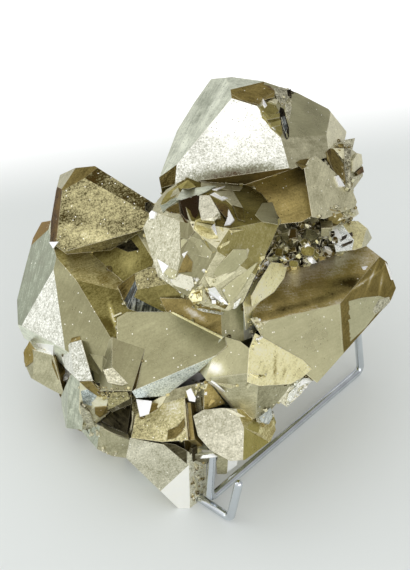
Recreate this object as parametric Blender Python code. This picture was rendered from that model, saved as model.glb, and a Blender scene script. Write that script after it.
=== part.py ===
"""A pyrite cluster leaning on its bent wire stand.

The cluster is laid out on a sheet that faces the display viewpoint. Each crystal is a convex
block: its outline and its front faces are given by points of the sheet and by depths toward the
viewer, and its far side tapers in. The blocks are then grown together into one solid. The stand
is two bent pieces of wire: an upright frame and a foot with an upturned lip.
"""

import itertools
import math

import bpy
import bmesh
import numpy as np
from mathutils import Matrix

# Driving dimensions, in metres.
WIRE = 0.003  # diameter of the stand's wire
GAP = 0.0003  # clearance between the stone and the wire
LAYOUT_STEP = 0.00035  # one step of the layout sheet
SHEET_PLACE = (-0.0004, -0.0101)  # the sheet's centre, seen from above
SHEET_HEIGHT = 0.0615  # the sheet's centre above the floor
VIEW_DISTANCE = 0.5  # from the display viewpoint to the sheet's centre
VIEW_ELEVATION = math.radians(38)
FRAME_HEIGHT = 0.030  # the middle of the frame's top bar above the floor
FRAME_LEAN = math.radians(3)
FRAME_NEAR_CORNER = (0.0011, -0.0584)  # stands on the foot's wire
FRAME_FAR_CORNER = (0.0601, 0.0133)  # stands on the floor
LEG_CONVERGENCE = math.radians(8.2)  # each leg leans in by this much
HEEL = (0.0084, -0.0643)  # where the foot turns up into the lip
FOOT_RUN = math.radians(138)  # the foot's direction from the heel, seen from above
FOOT_LENGTH = 0.030
LIP_HEIGHT = 0.022
LIP_LEAN = math.radians(10)
BEND = 0.0026  # radius of a bend, at the wire's middle
MM = 0.001

# How finely the wire is drawn.
BEND_STEPS = 6
WIRE_RESOLUTION = 6
DOME_ANGLES = (0, 20, 40, 60, 75, 86)  # rings of the lip's domed end, in degrees from its base
SHARP_ANGLE = math.radians(50)

# The sheet's centre in its own steps, and its axes.
SHEET_CENTRE = (205, 285)
ACROSS = np.array((1.0, 0.0, 0.0))
UP_SHEET = np.array((0.0, math.sin(VIEW_ELEVATION), math.cos(VIEW_ELEVATION)))
TO_VIEWER = np.array((0.0, -math.cos(VIEW_ELEVATION), math.sin(VIEW_ELEVATION)))
CENTRE = np.array((*SHEET_PLACE, SHEET_HEIGHT))
EYE = CENTRE + VIEW_DISTANCE * TO_VIEWER

SAME_POINT = 0.00001  # corners closer than this are one corner
FLAT_TRIO = 0.000001  # three planes whose determinant is under this have no corner
TAPER_SHARE = 0.1  # a wall longer than this share of the outline tapers at its far end
LEAST_LEAN, MOST_LEAN = 0.75, 1.25  # a tapering plane's share of the crystal's inset
INNER_SHARE = 0.6  # where the crystal's inner point lies, from its lowest front corner to its back
LEAST_DEPTH = 5  # a crystal whose faces all lie on others is at least this deep, in millimetres

# A crystal turned by an angle about the upright also tips and rolls by these, in degrees.
TIP_RATE, TIP_START = 1.7, 20
ROLL_RATE, ROLL_START = 0.6, 35

# The cutter below the floor: how far it reaches sideways and down.
FLOOR_REACH, FLOOR_DEPTH = 0.2, 0.1


def block(outline, back, fronts, rim=None, inset=8):
    """One crystal: sheet outline, depth of its back, its front faces, and how it tapers.

    From the depth rim on, its longer walls lean in, by about inset millimetres at the back.
    """
    return dict(outline=outline, back=back, fronts=fronts, rim=rim, inset=inset)


# Depths are in millimetres toward the viewer. A face is three points (x, y, depth); a face's
# name in place of the depth puts the point on that face, and a fourth value raises it.
CRYSTALS = {
    "core": block(
        [(112, 228), (160, 196), (296, 164), (346, 205), (352, 262), (318, 372), (205, 452),
         (132, 440), (76, 402), (48, 345), (44, 262)], -44,
        dict(
            middle=[(150, 290, 3), (235, 310, 8), (180, 350, 4)],
            upper=[(160, 215, -4), (290, 190, -8), (230, 262, 4)],
            lower=[(150, 380, 6), (250, 380, 4), (190, 440, -2)],
            east=[(262, 300, 4), (280, 370, -2), (345, 250, -16)],
            west=[(60, 270, -18), (120, 262, -4), (80, 370, -10)],
        ), rim=-26, inset=16),
    "top": block(
        [(211, 79), (232, 77), (262, 81), (322, 101), (346, 131), (352, 149), (240, 186),
         (162, 193), (159, 178), (177, 131), (194, 103)], -46,
        dict(
            sparkle=[(231, 99, -4), (178, 163, 4), (289, 167, 8)],
            left=[(231, 99, "sparkle"), (178, 163, "sparkle"), (187, 117, -13)],
            cap=[(231, 98, "sparkle"), (257, 106, "sparkle"), (262, 82, -15)],
            step=[(257, 106, "sparkle"), (281, 138, "sparkle"), (279, 96, -14)],
            right=[(281, 138, "sparkle"), (289, 167, "sparkle"), (325, 115, -18)],
            corner=[(232, 94, "left"), (262, 82, "cap"), (236, 78, -16)],
            shoulder=[(322, 101, "right"), (328, 148, "right"), (348, 135, -34)],
            under=[(176, 184, "sparkle"), (289, 168, "sparkle"), (235, 200, -12)],
            foot=[(161, 176, "left"), (177, 162, "sparkle"), (175, 184, "sparkle")],
        ), rim=-22, inset=15),
    "upper_left": block(
        [(56, 191), (60, 175), (75, 168), (95, 166), (155, 204), (148, 220), (142, 231),
         (110, 250), (67, 254), (50, 242), (51, 221)], -34,
        dict(
            face=[(62, 212, -3), (147, 212, 1), (90, 246, 4)],
            left_low=[(62, 210, "face"), (60, 241, "face"), (51, 225, -11)],
            left_top=[(61, 197, "face"), (86, 177, "face"), (66, 178, -12)],
            outer=[(61, 190, "left_top"), (75, 169, "left_top"), (60, 176, -20)],
            top_right=[(90, 181, "face"), (146, 212, "face"), (97, 169, -8)],
            under=[(75, 245, "face"), (142, 229, "face"), (100, 252, -6)],
        ), rim=-18, inset=9),
    "left": block(
        [(37, 223), (60, 219), (120, 235), (150, 255), (152, 275), (142, 340), (132, 391),
         (98, 389), (24, 338), (18, 325), (17, 300), (24, 272)], -46,
        dict(
            tri=[(52, 272, -6), (23, 323, -14), (62, 345, 4)],
            side=[(52, 272, "tri"), (23, 323, "tri"), (30, 262, -22)],
            long=[(54, 272, "tri"), (64, 342, "tri"), (100, 345, 13)],
            gold_top=[(57, 258, "long"), (76, 280, "long"), (140, 262, -12)],
            gold_low=[(76, 280, "long"), (116, 347, "long"), (113, 289, "gold_top")],
            low=[(22, 326, "tri"), (60, 347, "tri"), (40, 352, -20)],
            tip=[(38, 239, "side"), (50, 228, "side"), (40, 222, -32)],
        ), rim=-28, inset=13),
    "front": block(
        [(117, 318), (127, 312), (169, 312), (225, 337), (227, 346), (199, 371), (165, 396),
         (136, 398), (128, 385), (117, 340)], -20,
        dict(
            face=[(118, 318, 13), (204, 330, 20), (140, 385, 26)],
            strip=[(137, 389, "face"), (198, 363, "face"), (165, 400, 18)],
        )),
    "wedge": block(
        [(98, 350), (112, 337), (145, 348), (144, 362), (140, 384), (133, 391), (100, 391)], -10,
        dict(
            face=[(112, 338, "front.face"), (145, 349, "front.face"), (133, 390, "front.face", 3)],
            west=[(112, 338, "face"), (112, 390, "face"), (98, 380, "left.long")],
            fin=[(145, 348, "face"), (132, 390, "face"), (140, 376, "front.face", -1)],
        )),
    "front_right": block(
        [(197, 362), (223, 336), (240, 341), (249, 348), (251, 381), (230, 389), (207, 381),
         (199, 371)], -20,
        dict(
            face=[(200, 362, "front.face"), (223, 338, "front.face"), (249, 365, 26.5)],
            patch=[(205, 379, "face"), (213, 357, "face"), (198, 368, 18)],
        )),
    "yellow": block(
        [(255, 333), (303, 360), (312, 369), (303, 377), (291, 384), (260, 386), (247, 382),
         (249, 349)], -12,
        dict(
            face=[(255, 334, 25), (310, 369, 22), (254, 381, 34)],
        ), rim=6, inset=6),
    "keel": block(
        [(207, 378), (250, 373), (293, 380), (286, 392), (272, 409), (256, 418), (250, 420),
         (231, 407)], -15,
        dict(
            left=[(222, 389, 27), (258, 384, 31), (252, 418, 21)],
            right=[(258, 384, "left"), (256, 417, "left"), (285, 388, 20)],
            bevel=[(213, 381, "left"), (234, 407, "left"), (214, 392, 16)],
        ), rim=4, inset=6),
    "lower_right": block(
        [(193, 416), (203, 410), (222, 408), (272, 411), (276, 422), (271, 441), (245, 460),
         (230, 461), (210, 450), (198, 436)], -8,
        dict(
            face=[(195, 415, 22), (240, 418, 26), (215, 449, 26)],
            gold=[(240, 418, "face"), (244, 428, "face"), (274, 424, 12)],
            brown=[(244, 428, "face"), (243, 459, "face"), (268, 440, 12)],
        ), rim=6, inset=7),
    "middle": block(
        [(131, 438), (136, 414), (160, 403), (185, 397), (192, 402), (200, 437), (190, 440),
         (162, 442)], -20,
        dict(
            face=[(137, 416, 16), (185, 402, 21), (163, 440, 22)],
            side=[(185, 400, "face"), (188, 438, "face"), (199, 425, 10)],
        )),
    "shelf": block(
        [(140, 397), (165, 391), (186, 378), (200, 368), (202, 382), (194, 396), (160, 404)], -10,
        dict(
            face=[(146, 400, 18), (196, 376, 21), (182, 398, 20)],
        )),
    "hinge": block(
        [(195, 386), (206, 380), (214, 388), (226, 404), (222, 409), (203, 411), (194, 414),
         (190, 406)], -10,
        dict(
            west=[(204, 384, 23), (204, 410, 21), (192, 408, 14)],
            east=[(204, 384, "west"), (204, 410, "west"), (222, 402, 19)],
        )),
    "gap_edge": block(
        [(188, 400), (192, 404), (200, 437), (199, 458), (190, 462), (186, 440)], -10,
        dict(
            face=[(190, 404, 15), (199, 440, 16), (189, 452, 11)],
        )),
    "cube_low": block(
        [(186, 391), (191, 388), (196, 398), (195, 402), (189, 401)], 0,
        dict(
            face=[(186, 391, 25), (192, 388, 25), (192, 402, 26)],
        )),
    "cube": block(
        [(136, 399), (152, 401), (149, 414), (140, 417)], 0,
        dict(
            face=[(137, 400, 22), (152, 401, 23), (145, 416, 23)],
        )),
    "tooth": block(
        [(152, 402), (160, 404), (158, 409), (149, 414)], 0,
        dict(
            face=[(152, 402, 21.5), (159, 405, 19), (150, 413, 21)],
        )),
    "bottom": block(
        [(130, 438), (162, 444), (206, 457), (206, 497), (191, 508), (180, 510), (126, 458)], -24,
        dict(
            face=[(132, 440, 13), (188, 462, 17), (160, 486, 8)],
            white=[(189, 465, "face"), (165, 487, "face"), (184, 507, 0.5)],
            olive=[(189, 465, "white"), (190, 504, "white"), (205, 480, 2)],
        ), rim=-6, inset=8),
    "dark_low": block(
        [(158, 438), (188, 435), (197, 457), (184, 464), (160, 450)], -10,
        dict(
            face=[(160, 440, 13), (188, 436, 18), (180, 462, 14)],
            side=[(184, 438, "face"), (186, 462, "face"), (197, 450, 8)],
        )),
    "ledge_low": block(
        [(193, 437), (211, 449), (218, 454), (217, 461), (206, 464), (196, 461)], -2,
        dict(
            face=[(197, 456, 17), (216, 454, 15), (207, 462, 12)],
            top=[(196, 455, "face"), (216, 453, "face"), (204, 440, 12)],
        )),
    "stub_low": block(
        [(214, 436), (236, 436), (239, 452), (237, 465), (226, 474), (217, 474)], -22,
        dict(
            face=[(218, 462, -3), (228, 460, -3), (222, 474, -5)],
            light=[(228, 460, "face"), (227, 474, "face"), (238, 462, -6)],
        )),
    "low_left": block(
        [(24, 350), (30, 341), (55, 345), (66, 385), (62, 395), (50, 389), (31, 378), (24, 362)],
        -42,
        dict(
            face=[(34, 350, -12), (57, 372, -8), (45, 385, -14)],
            left=[(34, 350, "face"), (33, 372, "face"), (24, 358, -20)],
            white=[(34, 350, "face"), (55, 356, "face"), (45, 342, -18)],
            dark=[(54, 358, "face"), (60, 380, "face"), (64, 372, -14)],
        ), rim=-28, inset=8),
    "speckle": block(
        [(61, 356), (70, 343), (81, 340), (93, 381), (79, 381), (65, 368)], -30,
        dict(
            face=[(62, 356, 7), (81, 341, 11), (86, 381, 17)],
            left=[(70, 343, "face"), (74, 374, "face"), (62, 358, -2)],
        )),
    "column": block(
        [(61, 397), (65, 387), (71, 374), (81, 379), (84, 415), (82, 430), (66, 428), (62, 408)],
        -38,
        dict(
            face=[(72, 376, 5), (82, 400, 3), (66, 425, -6)],
            left=[(69, 380, "face"), (67, 426, "face"), (61, 400, -10)],
        ), rim=-22, inset=6),
    "low_mid": block(
        [(80, 378), (93, 380), (109, 399), (109, 412), (100, 421), (84, 430), (79, 410)], -34,
        dict(
            stripe=[(80, 380, 12), (98, 390, 14), (96, 394, 12)],
            face=[(80, 382, "stripe"), (98, 396, "stripe"), (84, 425, 1)],
            hexagon=[(93, 405, "face"), (104, 400, "face"), (104, 416, 1)],
        )),
    "low_gold": block(
        [(98, 388), (131, 388), (132, 404), (112, 412), (106, 408)], -30,
        dict(
            face=[(100, 388, 13), (130, 389, 19), (118, 408, 12)],
        )),
    "low_slab": block(
        [(81, 430), (84, 412), (100, 419), (128, 433), (131, 447), (126, 458), (112, 456),
         (97, 449)], -34,
        dict(
            face=[(102, 429, -2), (130, 442, 5), (110, 453, -5)],
            light=[(100, 426, "face"), (128, 438, "face"), (112, 425, -5)],
            west=[(100, 425, "face"), (97, 449, "face"), (83, 432, -12)],
        ), rim=-18, inset=6),
    "throat": block(
        [(160, 298), (246, 300), (253, 318), (256, 336), (240, 342), (222, 340),
         (168, 316)], -20,
        dict(
            face=[(178, 312, 12), (221, 312, 17), (222, 338, 18)],
            east=[(221, 312, "face"), (222, 338, "face"), (243, 322, 15.5)],
            bank=[(243, 300, "east"), (244, 340, "east"), (256, 322, 11)],
        )),
    "hollow": block(
        [(110, 302), (118, 286), (134, 274), (150, 267), (160, 269), (180, 290), (192, 304),
         (192, 317), (126, 320), (113, 318)], -20,
        dict(
            lump=[(134, 290, 7.5), (150, 273, 7), (165, 290, 10)],
            arc=[(118, 312, 2.5), (133, 284, 6), (112, 290, -2)],
            streaked=[(118, 312, 2.5), (133, 284, 6), (134, 297, 7)],
            saddle=[(134, 297, "streaked"), (127, 313, "streaked"), (168, 314, 7.5)],
            dark=[(134, 297, "saddle"), (168, 314, "saddle"), (190, 300, 10)],
        )),
    "neck": block(
        [(243, 303), (262, 264), (274, 246), (281, 252), (280, 264), (256, 322), (246, 330)], -20,
        dict(
            face=[(252, 270, 19), (270, 262, 10), (246, 325, 19)],
        )),
    "right": block(
        [(252, 316), (258, 300), (283, 262), (356, 238), (387, 262), (396, 288), (391, 300),
         (328, 371), (317, 383), (262, 339)], -46,
        dict(
            front=[(262, 324, 20), (376, 296, -2), (320, 372, 12)],
            top=[(262, 322, "front"), (376, 295, "front"), (330, 256, -12)],
            end=[(349, 293, "top"), (375, 262, "top"), (393, 290, -22)],
            rag=[(376, 296, "front"), (369, 320, "front"), (392, 298, -16)],
        ), rim=-24, inset=12),
    "golden": block(
        [(252, 307), (251, 296), (258, 283), (271, 262), (288, 264), (284, 278), (274, 292)], -25,
        dict(
            face=[(253, 306, 26), (272, 262, 13), (287, 266, 7)],
        )),
    "saddle": block(
        [(200, 170), (305, 156), (312, 216), (302, 222), (270, 225), (200, 200)], -40,
        dict(
            face=[(245, 176, -2), (300, 165, -4), (290, 216, 4)],
        )),
    "slab": block(
        [(304, 168), (309, 159), (316, 156), (325, 163), (352, 189), (357, 202), (355, 207),
         (324, 219), (312, 217)], -36,
        dict(
            face=[(306, 168, 4), (312, 215, 8), (355, 202, -4)],
        ), rim=-16, inset=8),
    "stub_high": block(
        [(330, 143), (344, 140), (355, 138), (352, 151), (336, 160)], -34,
        dict(
            face=[(340, 142, -22), (354, 139, -26), (340, 156, -17)],
        )),
    "stub_side": block(
        [(326, 152), (350, 148), (361, 156), (363, 176), (352, 191), (335, 184), (324, 164)], -34,
        dict(
            face=[(328, 154, -10), (350, 150, -16), (346, 188, -3)],
            side=[(351, 150, "face"), (350, 188, "face"), (362, 170, -20)],
        ), rim=-24, inset=6),
    "stub_edge": block(
        [(326, 213), (356, 205), (359, 214), (333, 232), (326, 224)], -26,
        dict(
            face=[(330, 211, 1), (357, 210, -8), (334, 230, 5)],
            low=[(330, 213, "face"), (346, 217, "face"), (333, 230, -4)],
        )),
    "knob": block(
        [(336, 224), (341, 221), (358, 221), (368, 229), (372, 238), (366, 246), (354, 250),
         (340, 246)], -34,
        dict(
            face=[(342, 226, -6), (366, 234, -12), (352, 246, -2)],
            cap=[(341, 224, "face"), (366, 232, "face"), (356, 221, -14)],
            side=[(366, 230, "face"), (362, 246, "face"), (372, 240, -18)],
        ), rim=-22, inset=6),
    "striped": block(
        [(330, 227), (342, 224), (354, 240), (352, 250), (336, 252)], -20,
        dict(
            face=[(332, 228, 2), (352, 246, 1), (344, 225, -6)],
        )),
    "gravel": block(
        [(254, 232), (281, 214), (330, 210), (345, 222), (350, 246), (283, 268),
         (262, 274), (252, 262)], -30,
        dict(
            bed=[(262, 264, 10), (345, 246, -3), (300, 214, -5)],
        )),
    "rough_edge": block(
        [(284, 377), (311, 370), (315, 376), (300, 395), (287, 407), (276, 400)], -20,
        dict(
            face=[(288, 380, 13), (311, 373, 8), (288, 404, 12)],
        ), rim=-4, inset=5),
    "chip_low": block(
        [(255, 412), (268, 408), (274, 414), (268, 424), (257, 422)], 0,
        dict(
            face=[(256, 413, 22), (272, 412, 18), (262, 423, 19)],
        )),
    "dome": block(
        [(143, 228), (157, 201), (166, 190), (190, 176), (240, 180), (262, 194),
         (281, 220), (271, 243), (243, 302), (228, 311), (205, 306), (180, 292), (158, 276)], -20,
        dict(
            face=[(180, 240, 37), (208, 252, 39), (190, 262, 38)],
            speckle=[(179.5, 214, 33), (179.5, 262, "face"), (150, 240, 25)],
            grey=[(180, 238, "speckle"), (179.5, 214, "speckle"), (192, 233, "face")],
            brown=[(182, 215, "grey"), (194, 224, "grey"), (190, 200, 22)],
            crest=[(176, 200, 22), (212, 190, 24), (195, 176, 13)],
            beige=[(196, 232, "face"), (206, 240, "face"), (208, 212, 32)],
            east=[(222, 212, 34), (219, 241, 38), (262, 232, 24)],
            south=[(205, 275, 39), (245, 262, 34), (225, 300, 33)],
            north_east=[(215, 187, 24), (240, 205, 27), (262, 200, 14)],
        )),
    "chip_top": block(
        [(200, 197), (210, 196), (220, 213), (217, 219), (201, 220)], 10,
        dict(
            face=[(201, 198, "dome.crest", 3), (219, 214, "dome.crest", 1),
                  (202, 219, "dome.crest", 2)],
        )),
    "block_a": block(
        [(171, 281), (181, 274), (192, 277), (194, 284), (190, 292), (181, 295)], 10,
        dict(
            face=[(172, 279, "dome.face", 1), (193, 280, "dome.face", 2), (182, 294, "dome.face", -1)],
        )),
    "block_b": block(
        [(187, 295), (200, 290), (203, 300), (194, 305)], 10,
        dict(
            face=[(188, 295, "dome.face"), (202, 296, "dome.south", 1.5),
                  (194, 305, "dome.face", -2)],
        )),
    "blade": block(
        [(206, 289), (215, 287), (229, 308), (213, 303)], 10,
        dict(
            face=[(207, 289, "dome.south", 1.5), (215, 288, "dome.south", 1.5),
                  (222, 308, "dome.south", -1)],
        )),
}

# Small cubes that stand out of the gravelly hollow beside the dome: x, y, depth, edge, turn.
GRAVEL_CUBES = (
    (264, 246, 7, 4.2, 10), (272, 236, 3, 3.4, 50), (283, 226, 0, 4.0, 75), (292, 238, 4, 3.0, 20),
    (298, 222, -1, 3.4, 130), (303, 246, 5, 3.6, 95), (288, 252, 7, 3.2, 160), (276, 254, 8, 3.4, 35),
    (313, 232, 2, 4.4, 60), (322, 244, 3, 4.0, 110), (316, 218, -2, 3.2, 15), (265, 262, 10, 3.0, 80),
    (306, 256, 5, 3.2, 140), (328, 232, 0, 3.6, 30), (295, 262, 6, 2.6, 70), (340, 248, -1, 3.0, 120),
)

# Hidden crystals of the far side and the underside: x, y, depth, size across, turn.
FAR_LUMPS = (
    (216, 236, -34, 42, 20), (128, 290, -36, 34, 75), (284, 258, -34, 34, 140), (205, 338, -44, 40, 110),
    (108, 352, -30, 26, 15), (290, 316, -28, 28, 65), (160, 396, -14, 26, 30), (228, 388, -6, 22, 95),
    (172, 322, -52, 30, 160), (322, 186, -26, 20, 10), (338, 282, -28, 20, 100), (246, 306, -46, 28, 60),
)


def sheet_point(x, y, depth):
    """A point that shows at (x, y) of the sheet and stands depth millimetres toward the viewer."""
    depth *= MM
    scale = LAYOUT_STEP * (VIEW_DISTANCE - depth) / VIEW_DISTANCE
    across = (x - SHEET_CENTRE[0]) * scale
    up = (SHEET_CENTRE[1] - y) * scale
    return CENTRE + across * ACROSS + up * UP_SHEET + depth * TO_VIEWER


def depth_of(point):
    return (point - CENTRE) @ TO_VIEWER / MM


def point_on_face(x, y, face):
    """Where the sight line through (x, y) of the sheet meets a face."""
    normal, offset = face
    sight = sheet_point(x, y, 0) - EYE
    return EYE + sight * ((offset - normal @ EYE) / (normal @ sight))


def plane_through(a, b, c, inside):
    """(outward normal, offset) of the plane through three points."""
    normal = np.cross(b - a, c - a)
    normal /= np.linalg.norm(normal)
    if normal @ (inside - a) > 0:
        normal = -normal
    return normal, normal @ a


def front_faces(crystal, known, inside):
    """The crystal's named front faces. known holds every face that is already laid out."""
    faces = {}
    for name, corners in crystal["fronts"].items():
        points = []
        for x, y, depth, *raised in corners:
            if isinstance(depth, str):
                face = faces[depth] if depth in faces else known[depth]
                depth = depth_of(point_on_face(x, y, face)) + sum(raised)
            points.append(sheet_point(x, y, depth))
        faces[name] = plane_through(*points, inside)
    return faces


def uneven_lean(i):
    """How far the wall with this number leans in, as a share: each wall leans by its own amount."""
    return LEAST_LEAN + (MOST_LEAN - LEAST_LEAN) * (i * 5 % 7) / 7


def tapering_plane(crystal, a, b, lean, inside):
    """The plane that draws the crystal's far end in behind the wall from a to b."""
    between = np.mean((a, b), axis=0)
    inward = np.mean(crystal["outline"], axis=0) - between
    steps = crystal["inset"] * lean * MM / LAYOUT_STEP
    far = sheet_point(*(between + inward * (steps / np.linalg.norm(inward))), crystal["back"])
    rim = crystal["rim"]
    return plane_through(sheet_point(*a, rim), sheet_point(*b, rim), far, inside)


def walls(crystal, inside):
    """The planes of the crystal's outline, and the planes that draw its far end in."""
    outline = crystal["outline"]
    ends = list(zip(outline, outline[1:] + outline[:1]))
    around = sum(math.dist(a, b) for a, b in ends)
    planes = []
    for i, (a, b) in enumerate(ends):
        planes.append(plane_through(EYE, sheet_point(*a, 0), sheet_point(*b, 0), inside))
        if crystal["rim"] is not None and math.dist(a, b) >= TAPER_SHARE * around:
            planes.append(tapering_plane(crystal, a, b, uneven_lean(i), inside))
    return planes


def inner_point(crystal):
    """A point well inside the crystal, to tell the inner side of a plane from its outer side."""
    back = crystal["back"]
    corners = [corner for face in crystal["fronts"].values() for corner in face]
    depths = [depth for _, _, depth, *_ in corners if not isinstance(depth, str)]
    lowest = min(depths, default=back + LEAST_DEPTH)
    depth = lowest + INNER_SHARE * (back - lowest)
    return sheet_point(*np.mean(crystal["outline"], axis=0), depth)


def crystal_planes(name, crystal, known):
    """Every plane that bounds the crystal. Its front faces are added to known."""
    inside = inner_point(crystal)
    faces = front_faces(crystal, known, inside)
    for face_name, face in faces.items():
        known[f"{name}.{face_name}"] = face
    back = (-TO_VIEWER, -TO_VIEWER @ sheet_point(0, 0, crystal["back"]))
    return [*faces.values(), *walls(crystal, inside), back]


def turned(angle):
    """A turn that differs for each crystal: about the upright, then about two level axes."""
    about_z = Matrix.Rotation(math.radians(angle), 3, "Z")
    about_x = Matrix.Rotation(math.radians(TIP_RATE * angle + TIP_START), 3, "X")
    about_y = Matrix.Rotation(math.radians(ROLL_RATE * angle + ROLL_START), 3, "Y")
    return np.array(about_z @ about_x @ about_y)


def planes_about(centre, directions, size, turn):
    """Planes square to the turned directions, in pairs that stand size apart."""
    planes = []
    for direction in directions:
        normal = turn @ (np.array(direction) / np.linalg.norm(direction))
        planes.append((normal, normal @ centre + size / 2))
    return planes


def cube_planes(x, y, depth, edge, angle):
    directions = [sign * axis for axis in np.eye(3) for sign in (-1, 1)]
    return planes_about(sheet_point(x, y, depth), directions, edge * MM, turned(angle))


def pyritohedron_planes(x, y, depth, across, angle):
    """The twelve five-sided faces of a pyritohedron."""
    directions = []
    for i in range(3):
        for tall in (-2, 2):
            for wide in (-1, 1):
                direction = [0, 0, 0]
                direction[i], direction[(i + 1) % 3] = tall, wide
                directions.append(direction)
    centre, turn = sheet_point(x, y, depth), turned(angle)
    return planes_about(centre, directions, across * MM, turn)


def meeting_points(planes):
    """Every corner of the convex body inside the planes."""
    normals = np.array([normal for normal, _ in planes])
    offsets = np.array([offset for _, offset in planes])
    corners = []
    for trio in itertools.combinations(range(len(planes)), 3):
        rows = list(trio)
        if abs(np.linalg.det(normals[rows])) < FLAT_TRIO:
            continue
        corner = np.linalg.solve(normals[rows], offsets[rows])
        if (normals @ corner <= offsets + SAME_POINT / 10).all():
            corners.append(corner)
    return corners


def distinct(corners):
    kept = []
    for corner in corners:
        if all(np.linalg.norm(corner - other) >= SAME_POINT for other in kept):
            kept.append(corner)
    return kept


def convex_body(name, planes):
    """A closed mesh of the body inside the planes."""
    shape = bmesh.new()
    points = [shape.verts.new(corner) for corner in distinct(meeting_points(planes))]
    bmesh.ops.convex_hull(shape, input=points, use_existing_faces=False)
    loose = [point for point in shape.verts if not point.link_faces]
    bmesh.ops.delete(shape, geom=loose, context="VERTS")
    bmesh.ops.recalc_face_normals(shape, faces=shape.faces)
    return new_object(name, shape)


def new_object(name, shape):
    mesh = bpy.data.meshes.new(name)
    shape.to_mesh(mesh)
    shape.free()
    made = bpy.data.objects.new(name, mesh)
    bpy.context.scene.collection.objects.link(made)
    return made


def set_aside(helper):
    helper.hide_render = True
    helper.display_type = "WIRE"


def boolean(target, other, operation):
    cut = target.modifiers.new(f"{operation.lower()} {other.name}", "BOOLEAN")
    cut.operation = operation
    cut.solver = "EXACT"
    if isinstance(other, bpy.types.Collection):
        cut.operand_type = "COLLECTION"
        cut.collection = other
    else:
        cut.object = other


def box(name, low, high):
    """A block between two corners."""
    shape = bmesh.new()
    bmesh.ops.create_cube(shape, size=1)
    for point in shape.verts:
        for axis in range(3):
            point.co[axis] = high[axis] if point.co[axis] > 0 else low[axis]
    return new_object(name, shape)


def skin_from(first):
    """All the faces that hang together with the first one."""
    skin, front = {first}, [first]
    while front:
        for edge in front.pop().edges:
            fresh = [face for face in edge.link_faces if face not in skin]
            skin.update(fresh)
            front.extend(fresh)
    return skin


def keep_outer_skin(target):
    """Applies the object's modifiers and fills the closed gaps that its crystals leave inside."""
    graph = bpy.context.evaluated_depsgraph_get()
    joined = bpy.data.meshes.new_from_object(target.evaluated_get(graph))
    target.modifiers.clear()
    shape = bmesh.new()
    shape.from_mesh(joined)
    skins, seen = [], set()
    for face in shape.faces:
        if face not in seen:
            skins.append(skin_from(face))
            seen |= skins[-1]
    outer = max(skins, key=lambda skin: sum(face.calc_area() for face in skin))
    inner = [face for face in shape.faces if face not in outer]
    bmesh.ops.delete(shape, geom=inner, context="FACES")
    shape.to_mesh(target.data)
    shape.free()


def metal(name, colour, roughness):
    material = bpy.data.materials.new(name)
    material.use_nodes = True
    shader = material.node_tree.nodes["Principled BSDF"]
    shader.inputs["Base Color"].default_value = (*colour, 1)
    shader.inputs["Metallic"].default_value = 1
    shader.inputs["Roughness"].default_value = roughness
    return material


def leg_top(foot, inward, back):
    """Where a leg that stands on this point meets the frame's top bar."""
    lean = inward * math.tan(LEG_CONVERGENCE) + back * math.tan(FRAME_LEAN)
    return foot + (FRAME_HEIGHT - foot[2]) * (lean + np.array((0, 0, 1)))


def stand_corners():
    """The frame's four corners and the foot's route, as middles of the wire."""
    near = np.array((*FRAME_NEAR_CORNER, 1.5 * WIRE + GAP))
    far = np.array((*FRAME_FAR_CORNER, WIRE / 2))
    along = unit((far - near) * (1, 1, 0))
    back = np.array((-along[1], along[0], 0))
    frame = [near, far, leg_top(far, -along, back), leg_top(near, along, back)]
    heel = np.array((*HEEL, WIRE / 2))
    run = np.array((math.cos(FOOT_RUN), math.sin(FOOT_RUN), 0))
    lip = np.array((0, 0, 1)) - run * math.tan(LIP_LEAN)
    foot = [heel + run * FOOT_LENGTH, heel, heel + lip * (LIP_HEIGHT - WIRE / 2)]
    return frame, foot


def unit(vector):
    return vector / np.linalg.norm(vector)


def bend_arc(corner, before, after):
    """The arc that rounds a corner, whose legs run in the directions before and after."""
    half = math.acos(np.clip(before @ after, -1, 1)) / 2
    centre = corner + unit(before + after) * BEND / math.sin(half)
    start = corner + before * BEND / math.tan(half) - centre
    end = corner + after * BEND / math.tan(half) - centre
    turn = math.pi - 2 * half
    points = []
    for step in range(BEND_STEPS + 1):
        part = turn * step / BEND_STEPS
        points.append(centre + (math.sin(turn - part) * start + math.sin(part) * end) / math.sin(turn))
    return points


def rounded(corners, closed):
    """The route through the corners, with each bend as an arc."""
    route = []
    for i, corner in enumerate(corners):
        if not closed and i in (0, len(corners) - 1):
            route.append(corner)
            continue
        after = corners[(i + 1) % len(corners)]
        route += bend_arc(corner, unit(corners[i - 1] - corner), unit(after - corner))
    return route


def domed(route, radius):
    """The route and its radii, with the last point drawn out into rings of a round dome."""
    run = unit(route[-1] - route[-2])
    tip = route[-1]
    places, radii = list(route[:-1]), [1.0] * (len(route) - 1)
    for angle in DOME_ANGLES:
        places.append(tip - run * radius * (1 - math.sin(math.radians(angle))))
        radii.append(math.cos(math.radians(angle)))
    return places, radii


def wire(name, route, radius, closed):
    """A round wire along a route. Where the route is open, its last end is domed."""
    places, radii = (route, [1.0] * len(route)) if closed else domed(route, radius)
    curve = bpy.data.curves.new(name, "CURVE")
    curve.dimensions = "3D"
    curve.bevel_depth = radius
    curve.bevel_resolution = WIRE_RESOLUTION
    curve.use_fill_caps = True
    line = curve.splines.new("POLY")
    line.points.add(len(places) - 1)
    for point, place, size in zip(line.points, places, radii):
        point.co = (*place, 1)
        point.radius = size
    line.use_cyclic_u = closed
    guide = bpy.data.objects.new(name + " guide", curve)
    bpy.context.scene.collection.objects.link(guide)
    graph = bpy.context.evaluated_depsgraph_get()
    mesh = bpy.data.meshes.new_from_object(guide.evaluated_get(graph))
    bpy.data.objects.remove(guide)
    mesh.name = name
    weld(mesh)
    mesh.shade_smooth()
    mesh.set_sharp_from_angle(angle=SHARP_ANGLE)
    made = bpy.data.objects.new(name, mesh)
    bpy.context.scene.collection.objects.link(made)
    return made


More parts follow.
